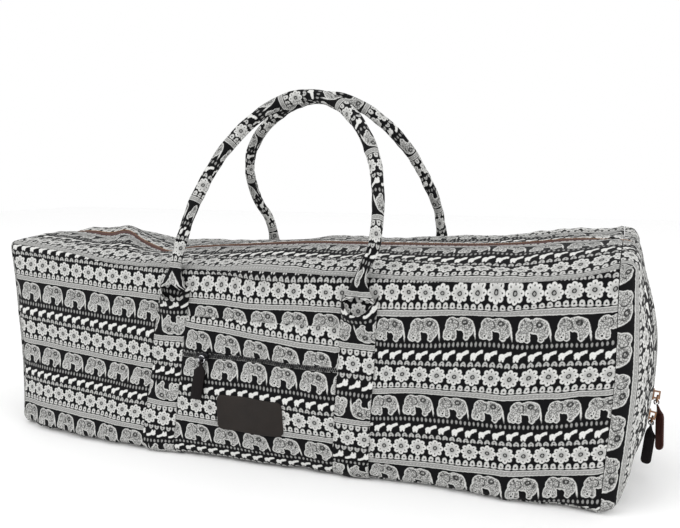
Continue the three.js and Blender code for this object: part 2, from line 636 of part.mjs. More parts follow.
function handleGeometry(handle) {
  const path = handlePath(handle);
  const crown = path[Math.floor(path.length / 2)].centre;
  const spring = path[FOOT_SECTIONS.length].centre;
  const climb = new THREE.Vector3(0, crown.y - spring.y, crown.z - spring.z).normalize();
  const archFacing = new THREE.Vector3().crossVectors(AXIS_X, climb).multiplyScalar(-handle.side);
  const footFacing = AXIS_Y.clone().multiplyScalar(handle.side);
  const rings = path.map(({ centre, across, thick, facing }, i) => {
    const before = path[Math.max(i - 1, 0)].centre;
    const after = path[Math.min(i + 1, path.length - 1)].centre;
    const along = new THREE.Vector3().subVectors(after, before).normalize();
    const out = new THREE.Vector3().lerpVectors(footFacing, archFacing, facing);
    out.addScaledVector(along, -out.dot(along)).normalize();
    const wide = new THREE.Vector3().crossVectors(along, out);
    return steps(0, 360, 10)
      .slice(0, -1)
      .map((degrees) => {
        const turn = radians(degrees);
        return centre
          .clone()
          .addScaledVector(wide, across * Math.cos(turn))
          .addScaledVector(out, thick * Math.sin(turn));
      });
  });
  return loft(rings);
}
for (const [name, handle] of Object.entries(HANDLES)) {
  add("handle_" + name, handleGeometry(handle), canvas);
}

// A slider lies on its zip: X is across the zip, Y points off the cloth, and -Z is the way to the
// post that its ring goes round. Y is 0 on top of its plate, which carries two posts and a bar.
const RING_SAG = RING_RADIUS - Math.sqrt(RING_RADIUS ** 2 - (PULL_NECK / 2) ** 2);
const PULL_HOLE = RING_WIRE + RING_SAG / 2 + RING_PLAY;
const PULL_EYE = PULL_HOLE + PULL_FOLD;
const RING_LEVEL = PULL_EYE + GAP;
const BRIDGE_CLEAR = RING_LEVEL + RING_WIRE + GAP;
const BRIDGE_HALF = POST_SPACING / 2;
const PLATE_HALF = BRIDGE_HALF + POST / 2 + SLIDER_LIP;

function sliderGeometry() {
  const shape = new THREE.Shape();
  const half = SLIDER_WIDTH / 2;
  shape.moveTo(-0.6 * half, -PLATE_HALF);
  shape.lineTo(0.6 * half, -PLATE_HALF);
  shape.lineTo(half, 0.2 * PLATE_HALF);
  shape.lineTo(0.7 * half, PLATE_HALF);
  shape.lineTo(-0.7 * half, PLATE_HALF);
  shape.lineTo(-half, 0.2 * PLATE_HALF);
  const plate = new THREE.ExtrudeGeometry(shape, { depth: PLATE_THICK, bevelEnabled: false });
  let solid = toSolid(plate.rotateX(Math.PI / 2));
  const sunk = PLATE_THICK / 2;
  const tall = sunk + BRIDGE_CLEAR + POST;
  for (const place of [-BRIDGE_HALF, BRIDGE_HALF]) {
    const post = new THREE.BoxGeometry(POST, tall, POST);
    solid = solid.add(toSolid(post.translate(0, tall / 2 - sunk, place)));
  }
  const bar = new THREE.BoxGeometry(POST, POST, POST_SPACING + POST);
  solid = solid.add(toSolid(bar.translate(0, BRIDGE_CLEAR + POST / 2, 0)));
  return toGeometry(solid);
}

// A pull is a strip of leather folded round the ring's wire, narrow there and full width below,
// with a round lower end. The wire's middle is the origin.
function pullGeometry(width, length) {
  const shape = new THREE.Shape();
  const neck = PULL_NECK / 2;
  const half = width / 2;
  shape.moveTo(-neck, 0);
  shape.lineTo(neck, 0);
  shape.lineTo(neck, -0.4 * PULL_SHOULDER);
  shape.quadraticCurveTo(half, -0.5 * PULL_SHOULDER, half, -PULL_SHOULDER);
  shape.lineTo(half, half - length);
  shape.absarc(0, half - length, half, 0, -Math.PI, true);
  shape.lineTo(-half, -PULL_SHOULDER);
  shape.quadraticCurveTo(-half, -0.5 * PULL_SHOULDER, -neck, -0.4 * PULL_SHOULDER);
  const strip = new THREE.ExtrudeGeometry(shape, { depth: PULL_THICK, bevelEnabled: false, curveSegments: 4 });
  strip.rotateX(Math.PI / 2).translate(0, PULL_THICK / 2, 0);
  const eye = new THREE.CylinderGeometry(PULL_EYE, PULL_EYE, PULL_NECK, 14).rotateZ(Math.PI / 2);
  const hole = new THREE.CylinderGeometry(PULL_HOLE, PULL_HOLE, 2 * PULL_NECK, 12).rotateZ(Math.PI / 2);
  const raised = RING_SAG / 2;
  eye.translate(0, 0, raised);
  hole.translate(0, 0, raised);
  return toGeometry(toSolid(strip).add(toSolid(eye)).subtract(toSolid(hole)));
}

// Puts a slider with its ring and pull at a place on the cloth. Angles are in degrees: hang turns
// the ring away from the zip's line, swing lifts the pull off the cloth and lean turns it sideways.
function hardware(name, at, out, back, set) {
  const across = new THREE.Vector3().crossVectors(out, back).normalize();
  const seat = new THREE.Group();
  seat.applyMatrix4(new THREE.Matrix4().makeBasis(across, out, new THREE.Vector3().crossVectors(across, out)));
  seat.position.copy(at);
  bag.add(seat);
  add(name + "_slider", sliderGeometry(), set.metal, seat);
  const hung = new THREE.Group();
  hung.position.set(0, RING_LEVEL, -BRIDGE_HALF);
  hung.rotation.y = radians(set.hang);
  seat.add(hung);
  const ringDown = RING_RADIUS - RING_WIRE - GAP - POST / 2;
  const ring = new THREE.TorusGeometry(RING_RADIUS, RING_WIRE, 5, 14).rotateX(Math.PI / 2);
  add(name + "_ring", ring.translate(0, 0, -ringDown), set.ringMetal, hung);
  const pull = add(name + "_pull", pullGeometry(set.width, set.length), set.leather, hung);
  pull.position.z = -ringDown - RING_RADIUS;
  pull.rotation.set(radians(set.swing), radians(set.lean), 0);
}

// A place on the cloth with its outward direction and a direction along it, from three points that
// are near each other on the outer skin.
function clothSeat(here, onward, aside) {
  const at = fill(here);
  const back = fill(onward).sub(at).normalize();
  const across = fill(aside).sub(at).normalize();
  const out = new THREE.Vector3().crossVectors(back, across).normalize();
  return { at, out, back };
}

// The main zip closes at the foot of the right end, where its two sliders hang one over the other.
const PLATE_LIFT = CHAIN_TOP + GAP + PLATE_THICK;
function endHardware(name, up, set) {
  const length = ZIP_LENGTH - up;
  const point = (far, y) => zipPoint(length - far, y, PLATE_LIFT);
  const { at, out, back } = clothSeat(point(0, 0), point(1, 0), point(0, -1));
  const plumb = THREE.MathUtils.radToDeg(Math.asin(-out.z));
  hardware(name, at, out, back, { ...set, swing: set.swing + plumb });
}
const endSet = { metal: brass, ringMetal: brass, width: END_PULL_WIDTH, length: END_PULL_LENGTH, hang: 0 };
endHardware("end_upper", UPPER_SLIDER_UP, { ...endSet, leather: brownLeather, swing: 18, lean: -5 });
endHardware("end_lower", LOWER_SLIDER_UP, { ...endSet, leather: blackLeather, swing: 0, lean: 9 });

// The pocket's slider is near the left end of its zip, and its pull hangs straight down.
const pocketLift = LAY + POCKET_THICK + GAP + PLATE_THICK;
const pocketSliderX = pocketX(0, ZIP_WAY) + POCKET_SLIDER_IN;
const pocketPoint = (x, way) => sidePoint(pocketSliderX + x, way, pocketLift, FRONT);
const pocketSeat = clothSeat(pocketPoint(0, ZIP_WAY), pocketPoint(1, ZIP_WAY), pocketPoint(0, ZIP_WAY - 1));
hardware("pocket", pocketSeat.at, pocketSeat.out, pocketSeat.back, {
  metal: gunmetal,
  ringMetal: nickel,
  leather: blackLeather,
  width: POCKET_PULL_WIDTH,
  length: POCKET_PULL_LENGTH,
  hang: 90,
  swing: 9,
  lean: -8,
});

export default bag;
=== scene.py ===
# A duffel bag for a rolled yoga mat, in printed cotton canvas, standing on a pale floor.
# Lengths are in millimetres where a comment or a name doesn't say otherwise. The bag is first laid
# out as a straight box of cloth, and fill() then bends every piece to the form of the filled bag.
import math

import bpy
import numpy as np
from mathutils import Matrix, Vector


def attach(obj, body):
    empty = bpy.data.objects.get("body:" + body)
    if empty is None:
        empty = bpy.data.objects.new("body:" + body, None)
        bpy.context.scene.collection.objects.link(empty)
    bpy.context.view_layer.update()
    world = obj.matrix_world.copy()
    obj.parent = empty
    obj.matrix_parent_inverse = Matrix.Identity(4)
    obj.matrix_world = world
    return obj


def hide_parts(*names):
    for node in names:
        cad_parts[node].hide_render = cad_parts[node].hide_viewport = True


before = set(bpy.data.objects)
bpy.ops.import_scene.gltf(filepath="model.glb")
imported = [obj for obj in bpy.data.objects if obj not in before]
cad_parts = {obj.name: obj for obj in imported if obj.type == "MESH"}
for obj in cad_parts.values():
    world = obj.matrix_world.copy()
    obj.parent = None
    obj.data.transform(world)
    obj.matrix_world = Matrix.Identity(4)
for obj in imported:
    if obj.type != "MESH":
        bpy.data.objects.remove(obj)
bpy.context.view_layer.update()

# The camera stands where the photographer did, a little above the bag and left of its middle, so
# that the right end shows.
MM = 0.001
CAMERA_AT = (330.9, -713.5, 287.6)
CAMERA_TURN = 22.46
CAMERA_DIP = 7.33
LENS = 37.8

camera_data = bpy.data.cameras.new("camera")
camera_data.lens = LENS
camera_data.clip_start = 0.01
camera = bpy.data.objects.new("camera", camera_data)
camera.location = Vector(CAMERA_AT) * MM
camera.rotation_euler = (math.radians(90 - CAMERA_DIP), 0, math.radians(CAMERA_TURN))
bpy.context.scene.collection.objects.link(camera)
bpy.context.scene.camera = camera


# The floor and the light: a white sweep, a bright even room and two large soft lamps, one high in
# front on the left and a weaker one on the right that lifts the end panel.
FLOOR_HALF = 4.0  # in metres, as are the lamps' places and sizes
FLOOR_LEVEL = -0.0005
LAMPS = {
    "lamp_left": {"at": (-1.3, -1.7, 1.9), "size": 1.8, "watts": 21},
    "lamp_right": {"at": (2.0, -0.5, 0.9), "size": 1.4, "watts": 14},
}


def linear(code):
    """An sRGB hex colour as the linear RGBA that the shaders take."""
    channels = [int(code[i : i + 2], 16) / 255 for i in (1, 3, 5)]
    return [c / 12.92 if c < 0.04045 else ((c + 0.055) / 1.055) ** 2.4 for c in channels] + [1]


def put(tree, kind, feeds=(), **settings):
    """Adds a node with its settings, and feeds its sockets with links or plain values."""
    made = tree.nodes.new(kind)
    for key, value in settings.items():
        setattr(made, key, value)
    for key, value in feeds.items() if isinstance(feeds, dict) else enumerate(feeds):
        source = value.outputs[0] if isinstance(value, bpy.types.Node) else value
        if isinstance(source, bpy.types.NodeSocket):
            tree.links.new(source, made.inputs[key])
        elif source is not None:
            made.inputs[key].default_value = source
    return made


def material(name, color, roughness, **more):
    """A new material with one Principled shader. Returns the material, its tree and the shader."""
    made = bpy.data.materials.new(name)
    made.use_nodes = True
    made.node_tree.nodes.clear()
    shader = put(made.node_tree, "ShaderNodeBsdfPrincipled")
    put(made.node_tree, "ShaderNodeOutputMaterial", (shader,))
    shader.inputs["Base Color"].default_value = linear(color)
    shader.inputs["Roughness"].default_value = roughness
    for key, value in more.items():
        shader.inputs[key.replace("_", " ").title()].default_value = value
    made.diffuse_color = linear(color)
    return made, made.node_tree, shader


sweep, _, _ = material("white paper sweep", "#fbfbfb", 0.9)
floor_mesh = bpy.data.meshes.new("floor")
corners = [(FLOOR_HALF * x, FLOOR_HALF * y, FLOOR_LEVEL) for x, y in ((-1, -1), (1, -1), (1, 1), (-1, 1))]
floor_mesh.from_pydata(corners, [], [(0, 1, 2, 3)])
floor_mesh.materials.append(sweep)
floor = bpy.data.objects.new("floor", floor_mesh)
bpy.context.scene.collection.objects.link(floor)

world = bpy.data.worlds.new("white room")
world.use_nodes = True
world.node_tree.nodes["Background"].inputs["Color"].default_value = linear("#ffffff")
world.node_tree.nodes["Background"].inputs["Strength"].default_value = 1.0
bpy.context.scene.world = world
bpy.context.scene.view_settings.view_transform = "Standard"
for lamp_name, lamp in LAMPS.items():
    lamp_data = bpy.data.lights.new(lamp_name, "AREA")
    lamp_data.size = lamp["size"]
    lamp_data.energy = lamp["watts"]
    lamp_object = bpy.data.objects.new(lamp_name, lamp_data)
    lamp_object.location = lamp["at"]
    aim = Vector((0, 0, 0.12)) - Vector(lamp["at"])
    lamp_object.rotation_euler = aim.to_track_quat("-Z", "Y").to_euler()
    bpy.context.scene.collection.objects.link(lamp_object)


# Printed cotton canvas, a plain weave with the pattern laid on in off-white pigment over black. The
# eye gets a matt cloth whose print breaks up a little on the threads. The print is a traditional
# stripe of elephants, dots, small beasts, hearts, flowers, scallops and a twisted cord.
REPEAT = 73.6  # height of one full set of stripes
UNIT = REPEAT / 84
BANDS = {
    "cord": (0, 7),
    "scallops": (7, 14),
    "flowers": (14, 32),
    "hearts": (32, 39),
    "beasts": (39, 51),
    "dots": (51, 59),
    "elephants": (59, 84),
}
ELEPHANT_PITCH = 33.2
FLOWER_PITCH = ELEPHANT_PITCH / 2
BEAST_PITCH = ELEPHANT_PITCH / 2.6
SCALLOP_PITCH = ELEPHANT_PITCH / 5
DOT_PITCH = ELEPHANT_PITCH / 8
INK_EDGE = 0.28  # how far the pigment's edge fades
LINE_DEPTH = 0.85  # how much of the pigment a line or a saddle leaves out
THREAD = 0.9  # the real threads are 0.45 apart, too fine to show
GROUND = "#08080a"
PIGMENT = "#dcdcd9"

MATH = "ShaderNodeMath"
VECTOR = "ShaderNodeVectorMath"
MIX = "ShaderNodeMix"
print_tree = bpy.data.node_groups.new("stripe print", "ShaderNodeTree")
print_tree.interface.new_socket("Cloth", in_out="INPUT", socket_type="NodeSocketVector")
print_tree.interface.new_socket("Ink", in_out="OUTPUT", socket_type="NodeSocketFloat")
cloth_in = put(print_tree, "NodeGroupInput")


def blob(p, at, size, turn=0.0):
    """How deep a point of the cloth lies inside an oval, in millimetres. size holds its radii."""
    place = (p, (*at, 0), (0, 0, math.radians(turn)), (*size, 1))
    local = put(print_tree, "ShaderNodeMapping", place, vector_type="TEXTURE")
    reach = put(print_tree, VECTOR, (local,), operation="LENGTH").outputs["Value"]
    return put(print_tree, MATH, (reach, -min(size), min(size)), operation="MULTIPLY_ADD")


def join(*depths):
    """The depth inside a shape made of several."""
    total = depths[0]
    for depth in depths[1:]:
        total = put(print_tree, MATH, (total, depth), operation="MAXIMUM")
    return total


def without(depth, hole):
    """The depth inside a shape that has another cut out of it."""
    outside = put(print_tree, MATH, (hole, -1.0), operation="MULTIPLY")
    return put(print_tree, MATH, (depth, outside), operation="MINIMUM")


def inked(depth, strength=1.0, edge=INK_EDGE):
    """Pigment from 0 to strength where a point is inside a shape."""
    return put(print_tree, "ShaderNodeMapRange", (depth, -edge, edge, 0.0, strength))


# The drawing wavers a little, as a screen print on cloth does.
waver = put(print_tree, "ShaderNodeTexNoise", {0: cloth_in, "Scale": 0.35, "Detail": 1.0})
centred = put(print_tree, VECTOR, (waver.outputs["Color"], (0.5, 0.5, 0.5)), operation="SUBTRACT")
nudge = put(print_tree, VECTOR, {0: centred, "Scale": 1.1}, operation="SCALE")
drawn_at = put(print_tree, VECTOR, (cloth_in, nudge), operation="ADD")
split = put(print_tree, "ShaderNodeSeparateXYZ", (drawn_at,))
across, upward = split.outputs[0], split.outputs[1]
row = put(print_tree, MATH, (upward, REPEAT, 0.0), operation="WRAP")


def cell(band, pitch, shift=0.0):
    """Coordinates about the middle of one motif of a band."""
    low, high = BANDS[band]
    moved = put(print_tree, MATH, (across, shift), operation="ADD")
    x = put(print_tree, MATH, (moved, pitch / 2, -pitch / 2), operation="WRAP")
    y = put(print_tree, MATH, (row, (low + high) / 2 * UNIT), operation="SUBTRACT")
    return put(print_tree, "ShaderNodeCombineXYZ", (x, y, 0.0))


# Elephants walk to the left one behind the other, with the trunk curled under, the tail hanging and
# a dark saddle. Their bodies are filled with fine lines inside a bright outline.
p = cell("elephants", ELEPHANT_PITCH)
trunk = join(blob(p, (-11.0, -3.6), (3.2, 6.4), -14), blob(p, (-9.6, -8.0), (3.0, 2.5)))
trunk = without(trunk, blob(p, (-9.0, -7.2), (1.0, 0.9)))
legs = join(
    blob(p, (-4.6, -5.6), (2.6, 5.4), 2),
    blob(p, (-4.7, -8.3), (2.9, 2.3)),
    blob(p, (7.4, -5.8), (2.8, 5.4), 0),
    blob(p, (7.2, -8.4), (2.9, 2.2)),
)
torso = join(
    blob(p, (-6.3, 2.9), (6.3, 7.0), -8),
    blob(p, (3.8, 3.2), (9.6, 6.6), -4),
    blob(p, (8.8, 0.2), (5.6, 8.4)),
)
under = blob(p, (1.4, -7.2), (3.5, 4.6))
body = join(trunk, legs, without(torso, under), blob(p, (14.9, -3.6), (0.75, 5.8), 7))
toes = join(blob(p, (-5.4, -8.9), (0.9, 0.7)), blob(p, (6.6, -9.0), (0.9, 0.7)))
saddle = blob(p, (5.4, 4.9), (3.1, 2.6), -12)
saddle_flower = blob(p, (5.4, 4.9), (1.2, 1.0), 20)
ear = without(blob(p, (-2.9, 3.4), (3.0, 4.0), 10), blob(p, (-3.4, 3.4), (2.4, 3.3), 10))
notch = blob(p, (-0.9, 10.3), (1.9, 1.5))
lines = join(
    ear,
    blob(p, (-9.4, 4.6), (0.9, 0.75)),
    blob(p, (-7.0, 7.2), (0.5, 1.9), 30),
    blob(p, (10.6, 2.0), (0.5, 2.8), -24),
)
filigree = put(print_tree, "ShaderNodeTexVoronoi", {0: drawn_at, "Scale": 0.5}, feature="DISTANCE_TO_EDGE")
hatched = put(print_tree, "ShaderNodeMapRange", (filigree.outputs["Distance"], 0.03, 0.17, 0.18, 0.72))
rim = put(print_tree, "ShaderNodeMapRange", (body, 0.5, 1.3, 0.92, 0.0))
tone = put(print_tree, MATH, (hatched, rim), operation="MAXIMUM")
dark_saddle = inked(without(saddle, saddle_flower), LINE_DEPTH)
dark = put(print_tree, MATH, (dark_saddle, inked(join(toes, lines), LINE_DEPTH)), operation="MAXIMUM")
kept = put(print_tree, MATH, (1.0, dark), operation="SUBTRACT")
filled = put(print_tree, MATH, (inked(without(body, notch)), tone), operation="MULTIPLY")
elephants = put(print_tree, MATH, (filled, kept), operation="MULTIPLY")

# Flowers have eight petals with a dot in each, a dark eye, and a bead between one and the next.
p = cell("flowers", FLOWER_PITCH)
parts = put(print_tree, "ShaderNodeSeparateXYZ", (p,))
turned = put(print_tree, MATH, (parts.outputs[1], parts.outputs[0]), operation="ARCTAN2")
reach = put(print_tree, VECTOR, (p,), operation="LENGTH").outputs["Value"]
petal = put(print_tree, MATH, (turned, math.pi / 8, -math.pi / 8), operation="WRAP")
folded_ways = []
for ratio in ("COSINE", "SINE"):
    share = put(print_tree, MATH, (petal,), operation=ratio)
    folded_ways.append(put(print_tree, MATH, (share, reach), operation="MULTIPLY"))
folded = put(print_tree, "ShaderNodeCombineXYZ", (*folded_ways, 0.0))
petals = join(blob(folded, (5.45, 0), (2.75, 2.45)), blob(folded, (3.0, 0), (3.0, 3.6)))
flower = without(without(petals, blob(p, (0, 0), (2.1, 2.1))), blob(folded, (5.6, 0), (0.7, 0.5)))
eye = blob(p, (0, 0), (1.15, 1.15))
paler = put(print_tree, "ShaderNodeMapRange", (reach, 2.4, 6.6, 0.6, 0.92))
flowers = put(print_tree, MATH, (inked(flower), paler), operation="MULTIPLY")
beads_between = inked(blob(cell("flowers", FLOWER_PITCH, FLOWER_PITCH / 2), (0, 0), (0.75, 1.0)), 0.5)
flowers = join(flowers, inked(eye, 0.4), beads_between)

# Small beasts are solid, with a raised arm to the right.
p = cell("beasts", BEAST_PITCH)
beast = join(
    blob(p, (-2.5, -0.7), (2.9, 2.7), 0),
    blob(p, (1.6, 1.5), (4.4, 1.55), 30),
    blob(p, (4.4, 2.6), (1.3, 1.5), 0),
    blob(p, (-4.2, -2.8), (1.05, 1.9), 0),
    blob(p, (-1.5, -2.9), (1.05, 1.8), 0),
)
beasts = inked(beast, 1.0)

# Hearts point down and scallops stand up, each with a darker middle.
p = cell("hearts", SCALLOP_PITCH)
heart = join(blob(p, (-0.95, 0.5), (1.3, 2.4), -32), blob(p, (0.95, 0.5), (1.3, 2.4), 32))
hearts = inked(without(heart, blob(p, (0, 0.7), (0.6, 0.5))), 0.62)
p = cell("scallops", SCALLOP_PITCH)
scallop = join(blob(p, (0, 0.0), (2.3, 2.75)), blob(p, (0, -1.7), (2.75, 1.1)))
scallops = inked(without(scallop, blob(p, (0, -0.5), (0.85, 0.8))), 0.78)

# One row of upright dots, fainter than the rest.
dots = inked(blob(cell("dots", DOT_PITCH), (0, 0), (1.05, 1.9)), 0.4)

# The cord is a grey twist between two bright edges.
p = cell("cord", SCALLOP_PITCH / 2)
band_y = put(print_tree, "ShaderNodeSeparateXYZ", (p,)).outputs[1]
off = put(print_tree, MATH, (band_y,), operation="ABSOLUTE")
band_depth = put(print_tree, MATH, (2.5, off), operation="SUBTRACT")
edges = without(band_depth, put(print_tree, MATH, (1.75, off), operation="SUBTRACT"))
twist = inked(blob(p, (0, 0), (1.35, 0.62), 36), 0.62)
cord = join(inked(edges, 0.9), put(print_tree, MATH, (inked(band_depth, 0.42), twist), operation="MAXIMUM"))

all_ink = join(elephants, flowers, beasts, hearts, scallops, dots, cord)
put(print_tree, "NodeGroupOutput", (all_ink,))

canvas, tree, shader = material("printed cotton canvas", GROUND, 0.9, sheen_weight=0.05, sheen_roughness=0.4)
shader.inputs["Specular IOR Level"].default_value = 0.15
cloth_uv = put(tree, "ShaderNodeUVMap", uv_map="cloth")
in_mm = put(tree, VECTOR, {0: cloth_uv, "Scale": 1000.0}, operation="SCALE")
stripes = put(tree, "ShaderNodeGroup", node_tree=print_tree)
tree.links.new(in_mm.outputs[0], stripes.inputs[0])
fleck = put(tree, "ShaderNodeTexNoise", {0: in_mm, "Scale": 1.3, "Detail": 2.0})
worn = put(tree, "ShaderNodeMapRange", (fleck.outputs[0], 0.32, 0.68, 0.74, 1.05))
ink = put(tree, MATH, (stripes, worn), operation="MULTIPLY")
cloth_color = put(tree, MIX, {0: ink, 6: linear(GROUND), 7: linear(PIGMENT)}, data_type="RGBA")
tree.links.new(cloth_color.outputs[2], shader.inputs["Base Color"])
warp_way = put(tree, VECTOR, {0: in_mm, "Scale": 2 * math.pi / THREAD}, operation="SCALE")
ways = put(tree, "ShaderNodeSeparateXYZ", (warp_way,))
over = put(tree, MATH, (ways.outputs[0],), operation="SINE")
under = put(tree, MATH, (ways.outputs[1],), operation="SINE")
weave = put(tree, MATH, (over, under), operation="MULTIPLY")
slub = put(tree, MATH, (fleck.outputs[0], 1.6, weave), operation="MULTIPLY_ADD")
bump = put(tree, "ShaderNodeBump", {"Strength": 0.5, "Distance": 0.00012, "Height": slub})
tree.links.new(bump.outputs[0], shader.inputs["Normal"])


# The cloth's shape. The bag is cut as a box and the filling bends it: the roof dips between the
# corners, the ends and the long faces swell, and the cloth is left with folds and slack waves.
SEAM_SPAN = 642.0
DEPTH = 200.0
HEIGHT = 214.0
TOP_EDGE_RADIUS = 8.0
FOOT_EDGE_RADIUS = 10.0
FOOT_SEAM_ANGLE = 55.0
END_WRAP = 14.0
END_DOME = 20.0
DOME_LOW = 1.5
FACE_BULGE = 6.0
END_PINCH = 8.0
BASE_DRAW_IN = 6.0
LEFT_DRAW_IN = 17.0  # how much more the left end is drawn in at the floor
RIGHT_SWELL = 6.0  # how much further the right end swells above its middle
LEFT_REACH = 14.0  # how much further out the left end stands, and where that begins
LEFT_REACH_FROM = 150.0
SPREAD_TOP = 0.55  # the share of the height up to which the front stands out
ROOF_SHOULDER = 3  # the power by which the roof falls off towards its edges
END_REACH = 60.0
END_GAP = 0.7
GAP = 0.3
WALL = 2.0
HALF_SPAN = SEAM_SPAN / 2
HALF_DEPTH = DEPTH / 2
FRONT, BACK = -1, 1


def table(columns, *rows):
    """A table with named columns, each as an array."""
    return dict(zip(columns.split(), np.array(rows, float).T))


# Places along the bag run from -1 at the left end's seam to 1 at the right one. The roof's heights
# are shares of the corner's height, and the foot's spread is a share of half the depth.
ROOF = table(
    "along front crown back",
    (-1.05, 0.982, 0.995, 0.995),
    (-0.9, 0.962, 0.998, 0.985),
    (-0.75, 0.938, 0.962, 0.958),
    (-0.58, 0.897, 0.928, 0.932),
    (-0.3, 0.89, 0.952, 0.95),
    (0, 0.892, 0.985, 0.98),
    (0.35, 0.896, 0.996, 0.995),
    (0.66, 0.9, 1.012, 1.03),
    (0.86, 0.932, 1.045, 1.073),
    (1.05, 1.014, 1.068, 1.1),
)
FOOT_SPREAD = table(
    "along front",
    (-1.05, 0.14),
    (-0.956, 0.21),
    (-0.88, 0.29),
    (-0.75, 0.32),
    (-0.58, 0.335),
    (-0.45, 0.33),
    (-0.3, 0.25),
    (-0.1, 0.205),
    (0.1, 0.175),
    (0.35, 0.125),
    (0.66, 0.07),
    (0.86, 0.05),
    (1.05, 0.06),
)
# Folds of the roof, each with its two ends as shares of the bag's half sizes, its rise as a share of
# the height and its spread as one of the depth.
FOLDS = [
    ((-0.9, 0.72), (-0.6, -0.7), 0.045, 0.075),
    ((-0.7, 0.95), (-0.5, -0.5), -0.03, 0.09),
    ((-0.2, -0.72), (0.22, -0.6), -0.018, 0.06),
    ((0.45, -0.62), (0.92, -0.8), -0.02, 0.06),
    ((0.3, 0.6), (0.8, 0.5), 0.016, 0.07),
]


def smooth(t, low, high):
    """0 below low, 1 above high, and eased between."""
    t = np.clip((t - low) / (high - low), 0, 1)
    return t * t * (3 - 2 * t)


def bell(distance, width):
    """1 at no distance, falling away on both sides."""
    return np.exp(-((distance / width) ** 2))


def eased(t, start, end, leaving, arriving):
    """Between two values for t from 0 to 1, with the given slopes at each."""
    first = (2 * t**3 - 3 * t**2 + 1) * start + (t**3 - 2 * t**2 + t) * leaving
    return first + (3 * t**2 - 2 * t**3) * end + (t**3 - t**2) * arriving


def from_table(rows, column, at):
    """Numbers from a table's named column, eased from row to row."""
    keys, values = rows["along"], rows[column]
    row = np.clip(np.searchsorted(keys, at) - 1, 0, len(keys) - 2)
    before = np.maximum(row - 1, 0)
    after = np.minimum(row + 2, len(keys) - 1)
    step = keys[row + 1] - keys[row]
    t = np.clip((at - keys[row]) / step, 0, 1)
    slope_from = (values[row + 1] - values[before]) / (keys[row + 1] - keys[before]) * step
    slope_to = (values[after] - values[row]) / (keys[after] - keys[row]) * step
    return eased(t, values[row], values[row + 1], slope_from, slope_to)


def ridge(x, y, start, end, spread):
    """1 along a line between two places, falling away beside it and past its ends."""
    dx, dy = end[0] - start[0], end[1] - start[1]
    way = ((x - start[0]) * dx + (y - start[1]) * dy) / (dx * dx + dy * dy)
    near = np.clip(way, 0, 1)
    away = np.hypot(x - start[0] - near * dx, y - start[1] - near * dy) / spread
    return (0.35 + 0.65 * np.sin(math.pi * near)) * np.exp(-away * away)


def spread_at(along, up):
    """How far the front stands out at its foot, where the filling has sunk forward."""
    return HALF_DEPTH * from_table(FOOT_SPREAD, "front", along) * (1 - smooth(up, 0, SPREAD_TOP))


def fill(x, y, z):
    """Takes points of the straight box to where the filled bag has them."""
    along, across, up = x / HALF_SPAN, y / HALF_DEPTH, z / HEIGHT
    within = np.clip(up, 0, 1)
    outward = np.minimum(np.abs(across), 1.1)
    middle = 1 - np.minimum(along * along, 1)
    swell = np.sin(math.pi * within) ** 0.8
    endness = smooth(np.abs(x), HALF_SPAN - END_REACH, HALF_SPAN + END_WRAP)
    fullness = np.maximum(np.sin(math.pi * (1 - (1 - within) ** DOME_LOW)), 0) ** 0.85
    dome = fullness * (1 - np.minimum(across * across, 1))
    rise = 0
    for start, end, fold_rise, spread in FOLDS:
        start = (start[0] * HALF_SPAN, start[1] * HALF_DEPTH)
        end = (end[0] * HALF_SPAN, end[1] * HALF_DEPTH)
        rise = rise + fold_rise * HEIGHT * ridge(x, y, start, end, spread * DEPTH)
    crown = from_table(ROOF, "crown", along)
    edge = np.where(across < 0, from_table(ROOF, "front", along), from_table(ROOF, "back", along))
    share = crown + (edge - crown) * outward**ROOF_SHOULDER
    pinch = END_PINCH * np.minimum(np.abs(along), 1) ** 6 * swell
    low = 1 - smooth(up, 0, 0.6)
    forward = np.maximum(-across, 0) * spread_at(along, up)
    to_right = smooth(x, HALF_SPAN - END_REACH, HALF_SPAN + END_WRAP)
    pushed = LEFT_REACH * smooth(-x, LEFT_REACH_FROM, HALF_SPAN)
    pushed = pushed - LEFT_DRAW_IN * smooth(-along, 0.4, 1) * low
    pushed = pushed - RIGHT_SWELL * bell(up - 0.68, 0.2) * to_right * (1 - np.minimum(across * across, 1))
    return np.stack(
        (
            x + np.sign(x) * END_DOME * dome * endness - along * BASE_DRAW_IN * low - pushed,
            y + across * (FACE_BULGE * swell * middle - pinch) - forward,
            z * share + rise * smooth(up, 0.8, 1),
        ),
        axis=-1,
    )


ROOF_FLAT = HALF_DEPTH - TOP_EDGE_RADIUS
TOP_ARC = math.pi / 2 * TOP_EDGE_RADIUS
FACE = HEIGHT - TOP_EDGE_RADIUS - FOOT_EDGE_RADIUS
FOOT_ARC = math.pi / 2 * FOOT_EDGE_RADIUS
FACE_START = ROOF_FLAT + TOP_ARC
FOOT_START = FACE_START + FACE
BOTTOM_START = FOOT_START + FOOT_ARC
GIRTH_HALF = BOTTOM_START + HALF_DEPTH - FOOT_EDGE_RADIUS
TOP_SEAM = ROOF_FLAT + TOP_ARC / 2
FOOT_SEAM = FOOT_START + FOOT_ARC * FOOT_SEAM_ANGLE / 90


